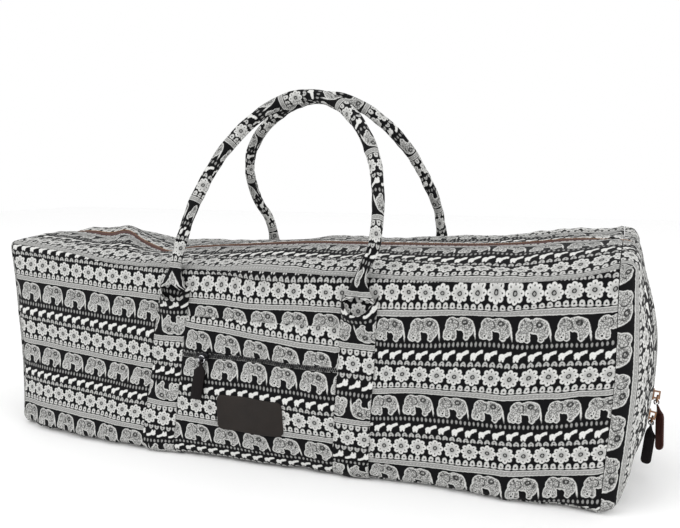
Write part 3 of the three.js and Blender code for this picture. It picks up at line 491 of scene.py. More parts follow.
def outline(way):
    """The bag's outline across its length, by the way round from the middle of the roof."""
    top = np.clip((way - ROOF_FLAT) / TOP_EDGE_RADIUS, 0, math.pi / 2)
    foot = np.clip((way - FOOT_START) / FOOT_EDGE_RADIUS, 0, math.pi / 2)
    down = np.clip(way - FACE_START, 0, FACE)
    inward = np.maximum(way - BOTTOM_START, 0)
    y = np.minimum(way, ROOF_FLAT) + TOP_EDGE_RADIUS * np.sin(top)
    y = y - FOOT_EDGE_RADIUS * (1 - np.cos(foot)) - inward
    z = HEIGHT - TOP_EDGE_RADIUS * (1 - np.cos(top)) - down - FOOT_EDGE_RADIUS * np.sin(foot)
    on_roof = way < FACE_START
    ny = np.where(on_roof, np.sin(top), np.cos(foot))
    nz = np.where(on_roof, np.cos(top), -np.sin(foot))
    return y, z, ny, nz


# Slack waves in the cloth: a few long ones everywhere, short puckers beside each seam, and single
# creases where the photograph shows them. Each crease has its side, its two ends as places along the
# bag and round it, its height and its spread.
random = np.random.default_rng(11)
WAVES = [
    {
        "turn": random.uniform(0, math.pi),
        "length": length,
        "phase": random.uniform(0, 2 * math.pi),
        "height": 0.0042 * length,
    }
    for length in np.geomspace(38, 190, 16)
]
CREASES = [
    (FRONT, (-92, 108), (50, 110), -3.6, 4),
    (FRONT, (-92, 97), (50, 98), 2.8, 7),
    (FRONT, (-318, 112), (-268, 116), -2.6, 5),
    (FRONT, (-300, 122), (-250, 190), 1.8, 16),
    (FRONT, (196, 118), (292, 109), 2.2, 7),
    (FRONT, (228, 130), (300, 119), -1.8, 8),
    (FRONT, (120, 113), (190, 116), -1.6, 7),
    (FRONT, (286, 150), (306, 262), -2.0, 11),
    (FRONT, (150, 262), (280, 278), -1.6, 10),
    (FRONT, (-290, 268), (-170, 280), -1.6, 10),
    (FRONT, (-232, 116), (-196, 170), -1.4, 12),
    (BACK, (-250, 130), (-160, 190), -2.2, 16),
    (BACK, (180, 120), (280, 170), 2.2, 14),
    (BACK, (-40, 250), (80, 268), -1.8, 12),
]


def slack(x, way, side):
    """How far the cloth stands off its smooth form."""
    b = way + (400 if side == BACK else 0)
    total = 0
    for wave in WAVES:
        phase = (x * math.cos(wave["turn"]) + b * math.sin(wave["turn"])) / wave["length"]
        total = total + wave["height"] * np.sin(2 * math.pi * phase + wave["phase"])
    from_top = np.abs(way - TOP_SEAM)
    from_foot = np.abs(way - FOOT_SEAM)
    from_end = HALF_SPAN - np.abs(x)
    beat = np.sin(x / 31) * 0.5 + 0.6
    total = total + 0.8 * beat * np.sin(x / 3.9 + 2 * np.sin(x / 47)) * np.exp(-from_top / 9)
    total = total + 0.8 * beat * np.sin(x / 4.3 + 2 * np.cos(x / 39)) * np.exp(-from_foot / 12)
    total = total + 1.0 * np.sin(way / 4.4 + 2 * np.sin(way / 37)) * np.exp(-from_end / 13)
    for crease_side, start, end, height, spread in CREASES:
        if crease_side == side:
            total = total + height * ridge(x, way, start, end, spread)
    still = smooth(from_end, 0, 9) * smooth(way, 4, 30) * (1 - smooth(way, FOOT_START + 8, BOTTOM_START))
    return total * still


def side_point(x, way, lift, side):
    """Points of the long sides of the filled bag, lifted off the outer skin."""
    y, z, ny, nz = outline(way)
    off = lift + slack(x, way, side)
    return fill(x, side * (y + off * ny), z + off * nz)


def way_at(height):
    """The way round to a height on the front or back of the straight box."""
    return FACE_START + HEIGHT - TOP_EDGE_RADIUS - height


def new_piece(name, points, faces, finish, replaced):
    """A smooth piece of the bag from its points, standing in for the solids that it replaces."""
    mesh = bpy.data.meshes.new(name)
    mesh.from_pydata((points * MM).tolist(), [], faces.tolist())
    mesh.polygons.foreach_set("use_smooth", [True] * len(mesh.polygons))
    mesh.materials.append(finish)
    piece = bpy.data.objects.new(name, mesh)
    bpy.context.scene.collection.objects.link(piece)
    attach(piece, "root")
    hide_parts(*replaced)
    return piece


def shell(name, outside, inside, faces, cloth, finish, replaced):
    """A closed piece of cloth from its outer and inner points, with the hems between their edges.
    """
    count = len(outside)
    faces = np.asarray(faces)
    edges = np.concatenate([faces[:, [i, (i + 1) % 4]] for i in range(4)])
    sorted_edges = np.sort(edges, axis=1)
    _, first, uses = np.unique(sorted_edges, axis=0, return_index=True, return_counts=True)
    hems = edges[first[uses == 1]]
    sides = np.stack((hems[:, 1], hems[:, 0], hems[:, 0] + count, hems[:, 1] + count), axis=1)
    polygons = np.concatenate((faces, faces[:, ::-1] + count, sides))
    piece = new_piece(name, np.concatenate((outside, inside)), polygons, finish, replaced)
    layer = piece.data.uv_layers.new(name="cloth")
    both = np.concatenate((cloth, cloth)) * MM
    layer.data.foreach_set("uv", both[polygons.ravel()].ravel())
    piece.data.set_sharp_from_angle(angle=math.radians(55))
    return piece


def grid(us, vs):
    """All pairs of two runs of numbers, flat, and the faces between them."""
    u, v = np.meshgrid(us, vs, indexing="ij")
    index = np.arange(u.size).reshape(u.shape)
    faces = np.stack((index[:-1, :-1], index[1:, :-1], index[1:, 1:], index[:-1, 1:]), axis=-1)
    return u.ravel(), v.ravel(), faces.reshape(-1, 4)


def spaced(start, end, step, fine=()):
    """A run of numbers a step apart, with closer ones at its two ends."""
    inner = np.linspace(start, end, max(2, round(abs(end - start) / step) + 1))
    way = np.sign(end - start)
    close = [start + way * f for f in fine] + [end - way * f for f in fine]
    return np.unique(np.concatenate((inner, close)))[:: int(way)]


# The front and back panels, in one layer of canvas. Each is sewn to the roof along its top edge, to
# the ends down its sides, and turns in under the bag to the bottom seam. The seams are turned
# inside, so the cloth dives a little at each edge.
CLOTH_STEP = 3.2
SEAM_DIVE = 1.3
SEAM_WIDTH = 2.2
HEM_STEPS = (0.6, 1.3, 2.2)
ROW_BASE = 6.7  # height of the lowest cord stripe's lower edge on the front
ROW_RISE = table(
    "along rise",
    (-1.05, 11.0),
    (-0.75, 5.0),
    (-0.45, 0.0),
    (0.2, 0.5),
    (0.48, 4.5),
    (0.62, 9.5),
    (0.68, 12.0),
    (0.78, 12.5),
    (0.92, 15.5),
    (1.05, 22.0),
)
FRONT_SHIFT = 3.0
# How far along the print has moved past each web, by height and by place.
LEFT_DRIFT = {"floor": 15, "less_up": 0.065, "at_end": 10}
RIGHT_DRIFT = {"all": 2, "middle": 4.5, "middle_up": 85, "outward": 0.045, "from": 140}
ROW_SAG = {"depth": 6.5, "along": 0.705, "spread": 0.15}
BACK_STRETCH = 0.93
BACK_ROW_BASE = 11
CLOSER_ROWS = 0.077  # how much closer the rows are at the right end, as the cloth turns under
CLOSER_BELOW = 135.0
LEAN_SHARE = 0.45  # of a place's lean outwards that its row has to make up for
TURN_UNDER = {"below": 25.0, "share": 0.5}


def turned_under(x, height):
    """How much cloth the lowest part of the middle takes up by turning under the bag."""
    middle = 1 - smooth(np.abs(x - 10), 95, 150)
    return TURN_UNDER["share"] * middle * np.maximum(TURN_UNDER["below"] - height, 0)


def dive(*distances):
    """How deep a seam pulls the cloth in, from the distances to the seams nearby."""
    return -sum(SEAM_DIVE * bell(d, SEAM_WIDTH) for d in distances)


def seen_height(x, way):
    """Height of a place on the front, less what the cloth takes to lean out at the foot."""
    along = x / HALF_SPAN
    height = HEIGHT - TOP_EDGE_RADIUS - (way - FACE_START)
    lean = LEAN_SHARE * spread_at(along, height / HEIGHT)
    return height * from_table(ROOF, "front", along) - lean - turned_under(x, height)


def front_rows(x, way):
    """Cloth coordinates on the front.

    The rows climb towards both ends, as the panel is cut askew, and sag between the right web and the
    right end. Past each web the print has drifted along.
    """
    along = x / HALF_SPAN
    seen = seen_height(x, way)
    closer = CLOSER_ROWS * smooth(along, 0, 1) * np.maximum(CLOSER_BELOW - seen, 0)
    sag = ROW_SAG["depth"] * bell(along - ROW_SAG["along"], ROW_SAG["spread"])
    sag = sag * (1 - smooth(seen, 95, 150))
    rows = seen - closer + sag - from_table(ROW_RISE, "rise", along) - ROW_BASE
    on_left = smooth(-x, 90, 130) * (LEFT_DRIFT["floor"] - LEFT_DRIFT["less_up"] * seen)
    on_left = on_left - LEFT_DRIFT["at_end"] * smooth(-x, 150, 310)
    on_right = RIGHT_DRIFT["all"] + RIGHT_DRIFT["middle"] * bell(seen - RIGHT_DRIFT["middle_up"], 35)
    on_right = smooth(x, 100, 140) * on_right
    on_right = on_right + RIGHT_DRIFT["outward"] * np.maximum(x - RIGHT_DRIFT["from"], 0)
    return np.stack((x + FRONT_SHIFT + on_left + on_right, rows), axis=-1)


def back_rows(x, way):
    """Cloth coordinates on the back, whose rows are level."""
    height = HEIGHT - TOP_EDGE_RADIUS - (way - FACE_START)
    return np.stack((-x, height * BACK_STRETCH - BACK_ROW_BASE), axis=-1)


def long_panel(name, ways, side, rows, node):
    """A panel as long as the bag, pulled in a little at all four edges."""
    u, v, faces = grid(spaced(-HALF_SPAN, HALF_SPAN, CLOTH_STEP, HEM_STEPS), ways)
    sink = dive(HALF_SPAN - np.abs(u), v - v.min(), v.max() - v)
    outside = side_point(u, v, sink, side)
    inside = side_point(u, v, sink - WALL, side)
    faces = faces if side == FRONT else faces[:, ::-1]
    return shell(name, outside, inside, faces[:, ::-1], rows(u, v), canvas, (node,))


face_ways = spaced(TOP_SEAM + GAP / 2, FOOT_SEAM - GAP / 2, CLOTH_STEP, HEM_STEPS)
long_panel("canvas_front", face_ways, FRONT, front_rows, "front_panel")
long_panel("canvas_back", face_ways, BACK, back_rows, "back_panel")


# The roof, in two panels that leave the zip open between them. Their edges beside the zip are
# folded under and topstitched.
SLOT_HALF = 8.5
ROOF_SHIFT = {FRONT: 9, BACK: -4}
ROOF_FRONT_START = 1.0  # where in the stripes the two halves of the roof begin
ROOF_BACK_START = 86.0


def roof_front_rows(x, way):
    return np.stack((x + ROOF_SHIFT[FRONT], TOP_SEAM - way + ROOF_FRONT_START), axis=-1)


def roof_back_rows(x, way):
    return np.stack((x + ROOF_SHIFT[BACK], way - SLOT_HALF + ROOF_BACK_START), axis=-1)


roof_ways = spaced(SLOT_HALF, TOP_SEAM - GAP / 2, CLOTH_STEP, HEM_STEPS)
long_panel("canvas_roof_front", roof_ways, FRONT, roof_front_rows, "roof_panel_front")
long_panel("canvas_roof_back", roof_ways, BACK, roof_back_rows, "roof_panel_back")

# The bottom panel, flat on the floor from one foot seam to the other.
under_ways = spaced(FOOT_SEAM + GAP / 2, GIRTH_HALF, 6.0)
bottom_ways = np.concatenate((under_ways, 2 * GIRTH_HALF - under_ways[-2::-1]))


def bottom_point(x, way, lift):
    """Points of the bottom, by the way round from its front seam to its back one."""
    front = side_point(x, np.minimum(way, GIRTH_HALF), lift, FRONT)
    back = side_point(x, np.minimum(2 * GIRTH_HALF - way, GIRTH_HALF), lift, BACK)
    return np.where((way <= GIRTH_HALF)[:, None], front, back)


u, v, faces = grid(spaced(-HALF_SPAN, HALF_SPAN, 6.0), bottom_ways)
shell(
    "canvas_bottom",
    bottom_point(u, v, 0),
    bottom_point(u, v, -WALL),
    faces[:, ::-1],
    np.stack((u, v), axis=-1),
    canvas,
    ("bottom_panel",),
)


# The end panels, swollen by the mat inside and wrapped round the corners to the side seams. The zip
# runs down a slot in each, which stops a hand's width above the floor. The print stands on its side.
ZIP_DROP = 164.0
END_STEP = 3.4
WRAP_LENGTH = math.pi / 2 * END_WRAP
WRAP_OUT = {-1: 6.0, 1: END_WRAP}  # how far each end reaches past its seams; the left is flatter
END_ROWS_START = 13  # an end's cloth begins this far before a cord stripe


def corner_arc(p, flat):
    """The turn in radians round a corner, for places past the flat of a side given as shares."""
    return np.clip((np.abs(p) - flat) / (1 - flat), 0, 1) * math.pi / 4


def end_outline(a, b):
    """A point of the end's outline with its outward direction, from a point of a square's rim."""
    on_top = (np.abs(b) >= np.abs(a)) & (b > 0)
    on_foot = (np.abs(b) >= np.abs(a)) & (b <= 0)
    half = HEIGHT / 2
    flat_top = ROOF_FLAT / HALF_DEPTH
    flat_foot = 1 - FOOT_EDGE_RADIUS / HALF_DEPTH
    turn = np.where(on_top, corner_arc(a, flat_top), 0)
    turn = np.where(on_foot, math.pi - corner_arc(a, flat_foot), turn)
    upper = math.pi / 2 - corner_arc(np.maximum(b, 0), 1 - TOP_EDGE_RADIUS / half)
    lower = math.pi / 2 + corner_arc(np.minimum(b, 0), 1 - FOOT_EDGE_RADIUS / half)
    turn = np.where(on_top | on_foot, turn, np.where(b > 0, upper, lower))
    radius = np.where(turn <= math.pi / 2, TOP_EDGE_RADIUS, FOOT_EDGE_RADIUS)
    centre_z = np.where(turn <= math.pi / 2, HEIGHT - TOP_EDGE_RADIUS, FOOT_EDGE_RADIUS)
    side_y = HALF_DEPTH - radius
    y = np.where(on_top | on_foot, np.minimum(np.abs(a) * HALF_DEPTH, side_y), side_y)
    y = np.where(y < side_y - 1e-9, y, side_y + radius * np.sin(turn))
    z_side = np.clip(half + b * half, FOOT_EDGE_RADIUS, HEIGHT - TOP_EDGE_RADIUS)
    bent = np.abs(turn - math.pi / 2) > 1e-9
    z = np.where(on_top | on_foot | bent, centre_z + radius * np.cos(turn), z_side)
    return np.sign(a) * y, z, np.sign(a) * np.sin(turn), np.cos(turn)


def end_point(hand, a, b, lift):
    """Points of an end panel, from their place on a square: a across and b up, each -1 to 1."""
    share = np.maximum(np.maximum(np.abs(a), np.abs(b)), 1e-6)
    y, z, ny, nz = end_outline(a / share, b / share)
    inset = (1 - share) * HALF_DEPTH
    turn = np.arccos(np.clip(1 - inset / END_WRAP, 0, 1))
    y = y * share + lift * np.cos(turn) * ny
    z = HEIGHT / 2 + (z - HEIGHT / 2) * share + lift * np.cos(turn) * nz
    wave = 0.9 * np.sin(y / 13 + hand) * np.sin(z / 17 + 1) + 0.6 * np.sin((y + z) / 9)
    soft = smooth(inset, 3, 22) * smooth(np.abs(y), SLOT_HALF, 34)
    x = HALF_SPAN + END_GAP + (WRAP_OUT[hand] + lift) * np.sin(turn) + wave * soft
    return fill(hand * x, y, z)


def unrolled(share):
    """Length of cloth from the middle of an end panel to a place given as a share of the way out."""
    inset = (1 - np.abs(share)) * HALF_DEPTH
    turn = np.arccos(np.clip(1 - inset / END_WRAP, 0, 1))
    from_seam = END_WRAP * turn + np.maximum(inset - END_WRAP, 0)
    return np.sign(share) * (WRAP_LENGTH + HALF_DEPTH - END_WRAP - from_seam)


slot_share = SLOT_HALF / HALF_DEPTH
drop_share = 1 - 2 * ZIP_DROP / HEIGHT
side_run = spaced(slot_share, 1.0, END_STEP / HALF_DEPTH, (0.004, 0.012))
a_run = np.concatenate((-side_run[::-1], np.linspace(-slot_share, slot_share, 7)[1:-1], side_run))
b_low = spaced(-1.0, drop_share, END_STEP / HALF_DEPTH, (0.004, 0.012))
b_run = np.concatenate((b_low, spaced(drop_share, 1.0, END_STEP / HALF_DEPTH, (0.004, 0.012))[1:]))
for hand, end_name in ((-1, "left"), (1, "right")):
    a, b, faces = grid(a_run, b_run)
    middle_a, middle_b = a[faces].mean(axis=1), b[faces].mean(axis=1)
    faces = faces[(np.abs(middle_a) > slot_share) | (middle_b < drop_share)]
    used = np.unique(faces)
    renumber = np.full(len(a), -1)
    renumber[used] = np.arange(len(used))
    a, b, faces = a[used], b[used], renumber[faces]
    slot_near = np.where(b > drop_share, (np.abs(a) - slot_share) * HALF_DEPTH, 99)
    rim_near = (1 - np.maximum(np.abs(a), np.abs(b))) * HALF_DEPTH
    sink = dive(np.maximum(slot_near, 0), rim_near)
    rows = np.stack((-hand * unrolled(b), unrolled(a) + unrolled(1.0) - END_ROWS_START), axis=-1)
    shell(
        "canvas_end_" + end_name,
        end_point(hand, a, b, sink),
        end_point(hand, a, b, sink - WALL),
        faces if hand > 0 else faces[:, ::-1],
        rows,
        canvas,
        ("end_panel_" + end_name,),
    )


# The four webs, one under each end of a handle. Each is a strap of the same canvas, upside down,
# folded and topstitched along both edges, and its free upper end stands open as a cup over the
# handle's flattened foot.
WEB_WIDTH = 36.0
WEB_THICK = 1.6
LAY = 0.6
HANDLE_SPAN = 212.0
FOOT_LENGTH = 48.0
LIP_DIP = 13.0
CUP_OPENING = 4.6
WEB_START = FACE_START + 11.0
WEB_END = FOOT_SEAM - 2 * GAP
CORD_MIDDLE = sum(BANDS["cord"]) / 2 * UNIT
STRAP_COLUMNS = ("side", "head", "foot", "spring", "cord_at", "shift")
STRAP_ROWS = {
    "front_left": (FRONT, -0.985, -1.095, -0.98, 117.6, 5.5),
    "front_right": (FRONT, 0.93, 0.9, 1.02, 127.7, 13.9),
    "back_left": (BACK, -0.94, -0.94, -0.95, 122.0, 2.0),
    "back_right": (BACK, 1.145, 1.17, 1.145, 110.0, 20.0),
}
STRAPS = {place: dict(zip(STRAP_COLUMNS, row)) for place, row in STRAP_ROWS.items()}
HANDLE_FEET = table(
    "along half_width half_thick closed",
    (0.0, 9.5, 5.6, 1.0),
    (0.12, 12.5, 4.9, 1.0),
    (0.2, 14.2, 4.5, 0.98),
    (0.32, 16.2, 3.9, 0.66),
    (0.46, 16.6, 3.2, 0.5),
    (0.75, 16.0, 2.0, 0.4),
    (1.0, 15.5, 1.2, 0.35),
)


def web_middle(strap, way):
    """A web's middle, which leans from its head to its foot and stands upright near the floor."""
    down = np.clip((way - FACE_START) / FACE, 0, 1)
    return (strap["head"] + (strap["foot"] - strap["head"]) * np.sin(0.6 * math.pi * down)) * HANDLE_SPAN / 2


def web_lift(u, way):
    """How far the web stands off the panel where the handle's foot lies under it, and at its lip."""
    down = (way - FACE_START) / FOOT_LENGTH
    foot = 2 * from_table(HANDLE_FEET, "half_thick", np.clip(down, 0, 1)) * (1 - smooth(down, 0.85, 1.15))
    across = np.sqrt(np.maximum(1 - (u / 0.97) ** 2, 0))
    lip = CUP_OPENING * (1 - u * u) * bell(way - WEB_START - LIP_DIP, 9)
    return LAY + (foot + LAY) * across + lip


def web_point(strap, u, way, off):
    x = web_middle(strap, way) + u * WEB_WIDTH / 2
    return side_point(x, way, web_lift(u, way) + off, strap["side"])


us = spaced(-1, 1, 0.09, (0.02, 0.05))
run = np.concatenate((np.linspace(0, 0.12, 12)[:-1], np.linspace(0.12, 1, 62)))
for strap_name, strap in STRAPS.items():
    u, t, faces = grid(us, run)
    lip = WEB_START + LIP_DIP * (1 - u * u)
    way = lip + (WEB_END - lip) * t
    side = strap["side"]
    from_edge = (1 - np.abs(u)) * WEB_WIDTH / 2
    puffed = WEB_THICK - 0.5 * bell(from_edge, 1.0) - 0.45 * bell(from_edge - 2.6, 0.7)
    puffed = puffed + 0.25 * bell(way - lip, 3)
    x = web_middle(strap, way) + u * WEB_WIDTH / 2
    if side == FRONT:
        height = seen_height(x, way)
    else:
        height = (HEIGHT - TOP_EDGE_RADIUS + FACE_START - way) * BACK_STRETCH
    rows = strap["cord_at"] - height + CORD_MIDDLE
    cloth = np.stack((strap["shift"] + side * u * WEB_WIDTH / 2, rows), axis=-1)
    shell(
        "web_" + strap_name + "_cloth",
        web_point(strap, u, way, puffed),
        web_point(strap, u, way, 0.0),
        faces[:, ::-1] if side == FRONT else faces,
        cloth,
        canvas,
        ("web_" + strap_name,),
    )


# The two handles, each a tube of canvas sewn round a soft cord. The cloth's two edges meet in a
# seam along the tube's inner side, and part at the foot, where the tube is pressed flat.
HANDLE_DIAMETER = 14.5
HANDLE_TAPER = 0.82
HANDLE_RISE = 154.0
SPRING_RISE = 30.0
SPRING_INSET = 8.0
CROWN_GAP = 4.5
HANDLE_CLOTH = 1.5
HANDLE_STRIP_AT = 176.8  # height of a cord stripe on each handle's right half
ARCH_STATIONS = 23
HANDLES = {
    "front": {"side": FRONT, "thick": 1, "bows": (0, 0)},
    "back": {"side": BACK, "thick": 0.92, "bows": (-0.16, -0.04)},
}


def along_curve(points, distances):
    """A smooth curve through points, with any number of columns, at distances along it."""
    steps = np.linalg.norm(np.diff(points[:, :3], axis=0), axis=1)
    at = np.concatenate(([0], np.cumsum(steps)))
    slopes = np.gradient(points, at, axis=0)
    row = np.clip(np.searchsorted(at, distances) - 1, 0, len(at) - 2)
    step = (at[row + 1] - at[row])[:, None]
    t = (distances[:, None] - at[row][:, None]) / step
    return eased(t, points[row], points[row + 1], slopes[row] * step, slopes[row + 1] * step)


def foot_stations(strap):
    """Middle, half width, half thickness, how far closed and how far turned, down a handle's foot."""
    half = HANDLE_FEET["half_thick"]
    way = FACE_START + FOOT_LENGTH * HANDLE_FEET["along"]
    middle = side_point(web_middle(strap, way), way, LAY + half, strap["side"])
    wide, closed = HANDLE_FEET["half_width"], HANDLE_FEET["closed"]
    return np.column_stack((middle, wide, half, closed, np.zeros(len(half))))[::-1]


def handle_stations(place, handle):
    """The stations of a whole handle, from its left foot over the arch to its right foot."""
    side = handle["side"]
    left, right = STRAPS[place + "_left"], STRAPS[place + "_right"]
    springs = np.array([left["spring"], right["spring"]]) * HANDLE_SPAN / 2
    seam_y, seam_z, _, _ = outline(np.array([TOP_SEAM, TOP_SEAM]))
    feet = fill(springs, side * seam_y, seam_z)
    turn = np.radians(np.linspace(0, 180, ARCH_STATIONS))
    risen = np.sin(turn)
    swing = (1 - np.cos(turn)) / 2
    on_left = np.arange(ARCH_STATIONS) < ARCH_STATIONS // 2
    bow = np.where(on_left, *handle["bows"]) * HANDLE_SPAN / 2
    x = feet[0, 0] + (feet[1, 0] - feet[0, 0]) * swing + bow * np.sin(math.pi * risen)
    foot_z = feet[0, 2] + (feet[1, 2] - feet[0, 2]) * swing
    spring_y = side * (HALF_DEPTH - SPRING_INSET)
    crown_y = side * (HANDLE_DIAMETER + CROWN_GAP) / 2
    y = spring_y + (crown_y - spring_y) * risen
    z = foot_z + SPRING_RISE + (HEIGHT + HANDLE_RISE - foot_z - SPRING_RISE) * risen
    half = handle["thick"] * HANDLE_DIAMETER / 2 * (HANDLE_TAPER + (1 - HANDLE_TAPER) * risen)
    ones = np.ones(ARCH_STATIONS)
    arch = np.column_stack((x, y, z, half, half, ones, ones))
    return np.concatenate((foot_stations(left), arch, foot_stations(right)[::-1]))


for place, handle in HANDLES.items():
    side = handle["side"]
    stations = handle_stations(place, handle)
    length = np.linalg.norm(np.diff(stations[:, :3], axis=0), axis=1).sum()
    s = np.linspace(0, length, round(length / 2.4))
    line = along_curve(stations, s)
    centre, wide, thick = line[:, :3], line[:, 3], line[:, 4]
    closed, facing = np.clip(line[:, 5], 0.3, 1), np.clip(line[:, 6], 0, 1)
    tangent = np.gradient(centre, axis=0)
    tangent /= np.linalg.norm(tangent, axis=1)[:, None]
    climb = centre[len(s) // 2] - stations[len(HANDLE_FEET["along"]), :3]
    climb = np.array([0, climb[1], climb[2]]) / np.hypot(climb[1], climb[2])
    arch_out = -side * np.cross([1, 0, 0], climb)
    out = (1 - facing)[:, None] * np.array([0, side, 0]) + facing[:, None] * arch_out
    out -= (out * tangent).sum(axis=1)[:, None] * tangent
    out /= np.linalg.norm(out, axis=1)[:, None]
    wideways = np.cross(tangent, out)
    near_foot = np.minimum(s, length - s)
    twist = side * math.pi / 2 * smooth(near_foot, 62, 150)
    i, phi, faces = grid(np.arange(len(s)), np.linspace(-1, 1, 41))
    i = i.astype(int)
    turn = phi * math.pi * closed[i] + twist[i]
    from_seam = (1 - np.abs(phi)) * math.pi * HANDLE_DIAMETER / 2
    crinkle = 0.35 * np.sin(s[i] / 2.9 + 3 * np.sin(s[i] / 23) + phi * 2) * np.exp(-from_seam / 6)
    lumps = 0.35 * np.sin(s[i] / 13 + phi * 5) + 0.25 * np.sin(s[i] / 5.3 + phi * 9)
    shut = smooth(closed[i], 0.9, 1)
    swell = (crinkle + lumps - 0.9 * bell(from_seam, 1.3)) * shut
    around = np.sin(turn)[:, None] * wideways[i], np.cos(turn)[:, None] * out[i]

    def handle_at(grown):
        return centre[i] + around[0] * (wide[i] + grown)[:, None] - around[1] * (thick[i] + grown)[:, None]

    right_s = s[np.argmin(np.abs(centre[:, 2] - HANDLE_STRIP_AT) + 1000 * (s < length / 2))]
    cloth = np.stack((-phi * math.pi * HANDLE_DIAMETER / 2, s[i] - right_s + CORD_MIDDLE), axis=-1)
    tube = shell(
        "handle_" + place + "_cloth",
        handle_at(swell),
        handle_at(swell * 0 - HANDLE_CLOTH),
        faces,
        cloth,
        canvas,
        ("handle_" + place,),
    )


# The pocket on the front lies between the two webs. Its zip opens across it, a hand's breadth
# under the top edge, with a hemmed band of cloth above and the pocket's bag below.
POCKET_TOP = 159.0
POCKET_SAG = 1.0
POCKET_ZIP = 114.5
POCKET_THICK = 1.4
POCKET_SLIT_HALF = 3.0
POCKET_WIDTH = 165.0  # about, where only a coil's pitch or a hem's width needs it
ROWS_FALL_FROM = 56  # where the band's rows have their given height, falling to the right
SHEARED_BELOW = 80  # the height below which the print of the pocket's bag leans
ZIP_WAY = way_at(POCKET_ZIP)
POCKET_ROWS = {
    "band": {"cord_at": 123.3, "fall": 9.0 / 130, "shift": 9.7, "shear": 0.0},
    "bag": {"cord_at": 30.0, "fall": 0.0, "shift": 12.0, "shear": 0.12},
}


def pocket_x(u, way):
    """A place across the pocket, for u from 0 at the left web to 1 at the right one."""
    left = web_middle(STRAPS["front_left"], way) + WEB_WIDTH / 2 + GAP
    right = web_middle(STRAPS["front_right"], way) - WEB_WIDTH / 2 - GAP
    return left + (right - left) * u


def pocket_cloth(name, part, from_way, to_way, sag, node):
    """One of the pocket's two pieces of cloth, with its hems and what it gathers at the zip."""
    us = spaced(0, 1, 0.018, (0.003, 0.007, 0.012))
    u, t, faces = grid(us, spaced(0, 1, 3.0 / (to_way - from_way), (0.01, 0.03)))
    start = from_way + sag * u
    way = start + (to_way - start) * t
    x = pocket_x(u, way)
    hem_top = bell(way - start, 1.0)
    hem_zip = bell(way - (to_way if part == "band" else start), 1.2)
    hem_side = bell(np.minimum(u, 1 - u) * POCKET_WIDTH, 1.2)
    topstitch = bell(way - start - 3.2, 0.8)
    thick = POCKET_THICK - 0.5 * hem_top - 0.4 * hem_zip - 0.6 * hem_side - 0.35 * topstitch
    gather = 0.7 * np.sin(x / 5.1 + 2 * np.sin(x / 33)) * np.exp(-np.abs(way - ZIP_WAY) / 8)
    body = 1.6 * np.sin(math.pi * u) ** 0.6 * np.sin(math.pi * np.clip(t, 0, 1)) ** 0.8
    off = LAY + body + 0.5 * gather * smooth(np.abs(way - ZIP_WAY), 3, 6)
    fall = POCKET_ROWS[part]["fall"] * (ROWS_FALL_FROM - x)
    seen = seen_height(x, way)
    rows = seen - POCKET_ROWS[part]["cord_at"] - fall + CORD_MIDDLE
    sheared = POCKET_ROWS[part]["shear"] * np.maximum(SHEARED_BELOW - seen, 0)
    across = x + POCKET_ROWS[part]["shift"] - sheared
    shell(
        name,
        side_point(x, way, off + thick, FRONT),
        side_point(x, way, off, FRONT),
        faces[:, ::-1],
        np.stack((across, rows), axis=-1),
        canvas,
        (node,),
    )


slit_top, slit_foot = ZIP_WAY - POCKET_SLIT_HALF, ZIP_WAY + POCKET_SLIT_HALF
pocket_cloth("pocket_band_cloth", "band", way_at(POCKET_TOP), slit_top, POCKET_SAG, "pocket_top_band")
pocket_cloth("pocket_bag_cloth", "bag", slit_foot, WEB_END, 0, "pocket_front")


# The pocket's zip, a black nylon coil in the slit. Each turn of the coil is a small bead, and the
# two rows of them interlock.
COIL_PITCH = 1.9
COIL_LIFT = 0.55

black_nylon, tree, shader = material("black nylon coil", "#101012", 0.42)
coil_noise = put(tree, "ShaderNodeTexNoise", {"Scale": 900.0, "Detail": 2.0})
coil_rough = put(tree, "ShaderNodeMapRange", (coil_noise.outputs[0], 0.3, 0.7, 0.34, 0.5))
tree.links.new(coil_rough.outputs[0], shader.inputs["Roughness"])


def beads(name, spots, finish, replaced):
    """One mesh of many small rounded beads. Each spot has a middle and three half axes."""
    rings, sides, round_off = 5, 8, 0.7
    lat = np.linspace(0, math.pi, rings)
    lon = np.linspace(0, 2 * math.pi, sides, endpoint=False)
    lat, lon = np.meshgrid(lat, lon, indexing="ij")
    unit = np.stack((np.cos(lat), np.sin(lat) * np.cos(lon), np.sin(lat) * np.sin(lon)), axis=-1)
    unit = unit.reshape(-1, 3)
    unit = np.sign(unit) * np.abs(unit) ** round_off
    index = np.arange(rings * sides).reshape(rings, sides)
    turned = np.roll(index, -1, axis=1)
    one = np.stack((index[:-1], index[1:], turned[1:], turned[:-1]), axis=-1).reshape(-1, 4)
    middles = np.array([spot[0] for spot in spots])
    axes = np.array([spot[1:] for spot in spots])
    points = middles[:, None, :] + np.einsum("pk,nkc->npc", unit, axes)
    faces = one[None] + (np.arange(len(spots)) * rings * sides)[:, None, None]
    piece = new_piece(name, points.reshape(-1, 3), faces.reshape(-1, 4), finish, replaced)
    piece.data.validate()


def placed(points, around, up_to):
    """Bead spots along a line of points: its middle, then half axes along, across and off the cloth."""
    along = np.gradient(points, axis=0)
    along /= np.linalg.norm(along, axis=1)[:, None]
    off = around / np.linalg.norm(around, axis=1)[:, None]
    side = np.cross(off, along)
    return [(p, a * up_to[0], c * up_to[1], o * up_to[2]) for p, a, c, o in zip(points, along, side, off)]


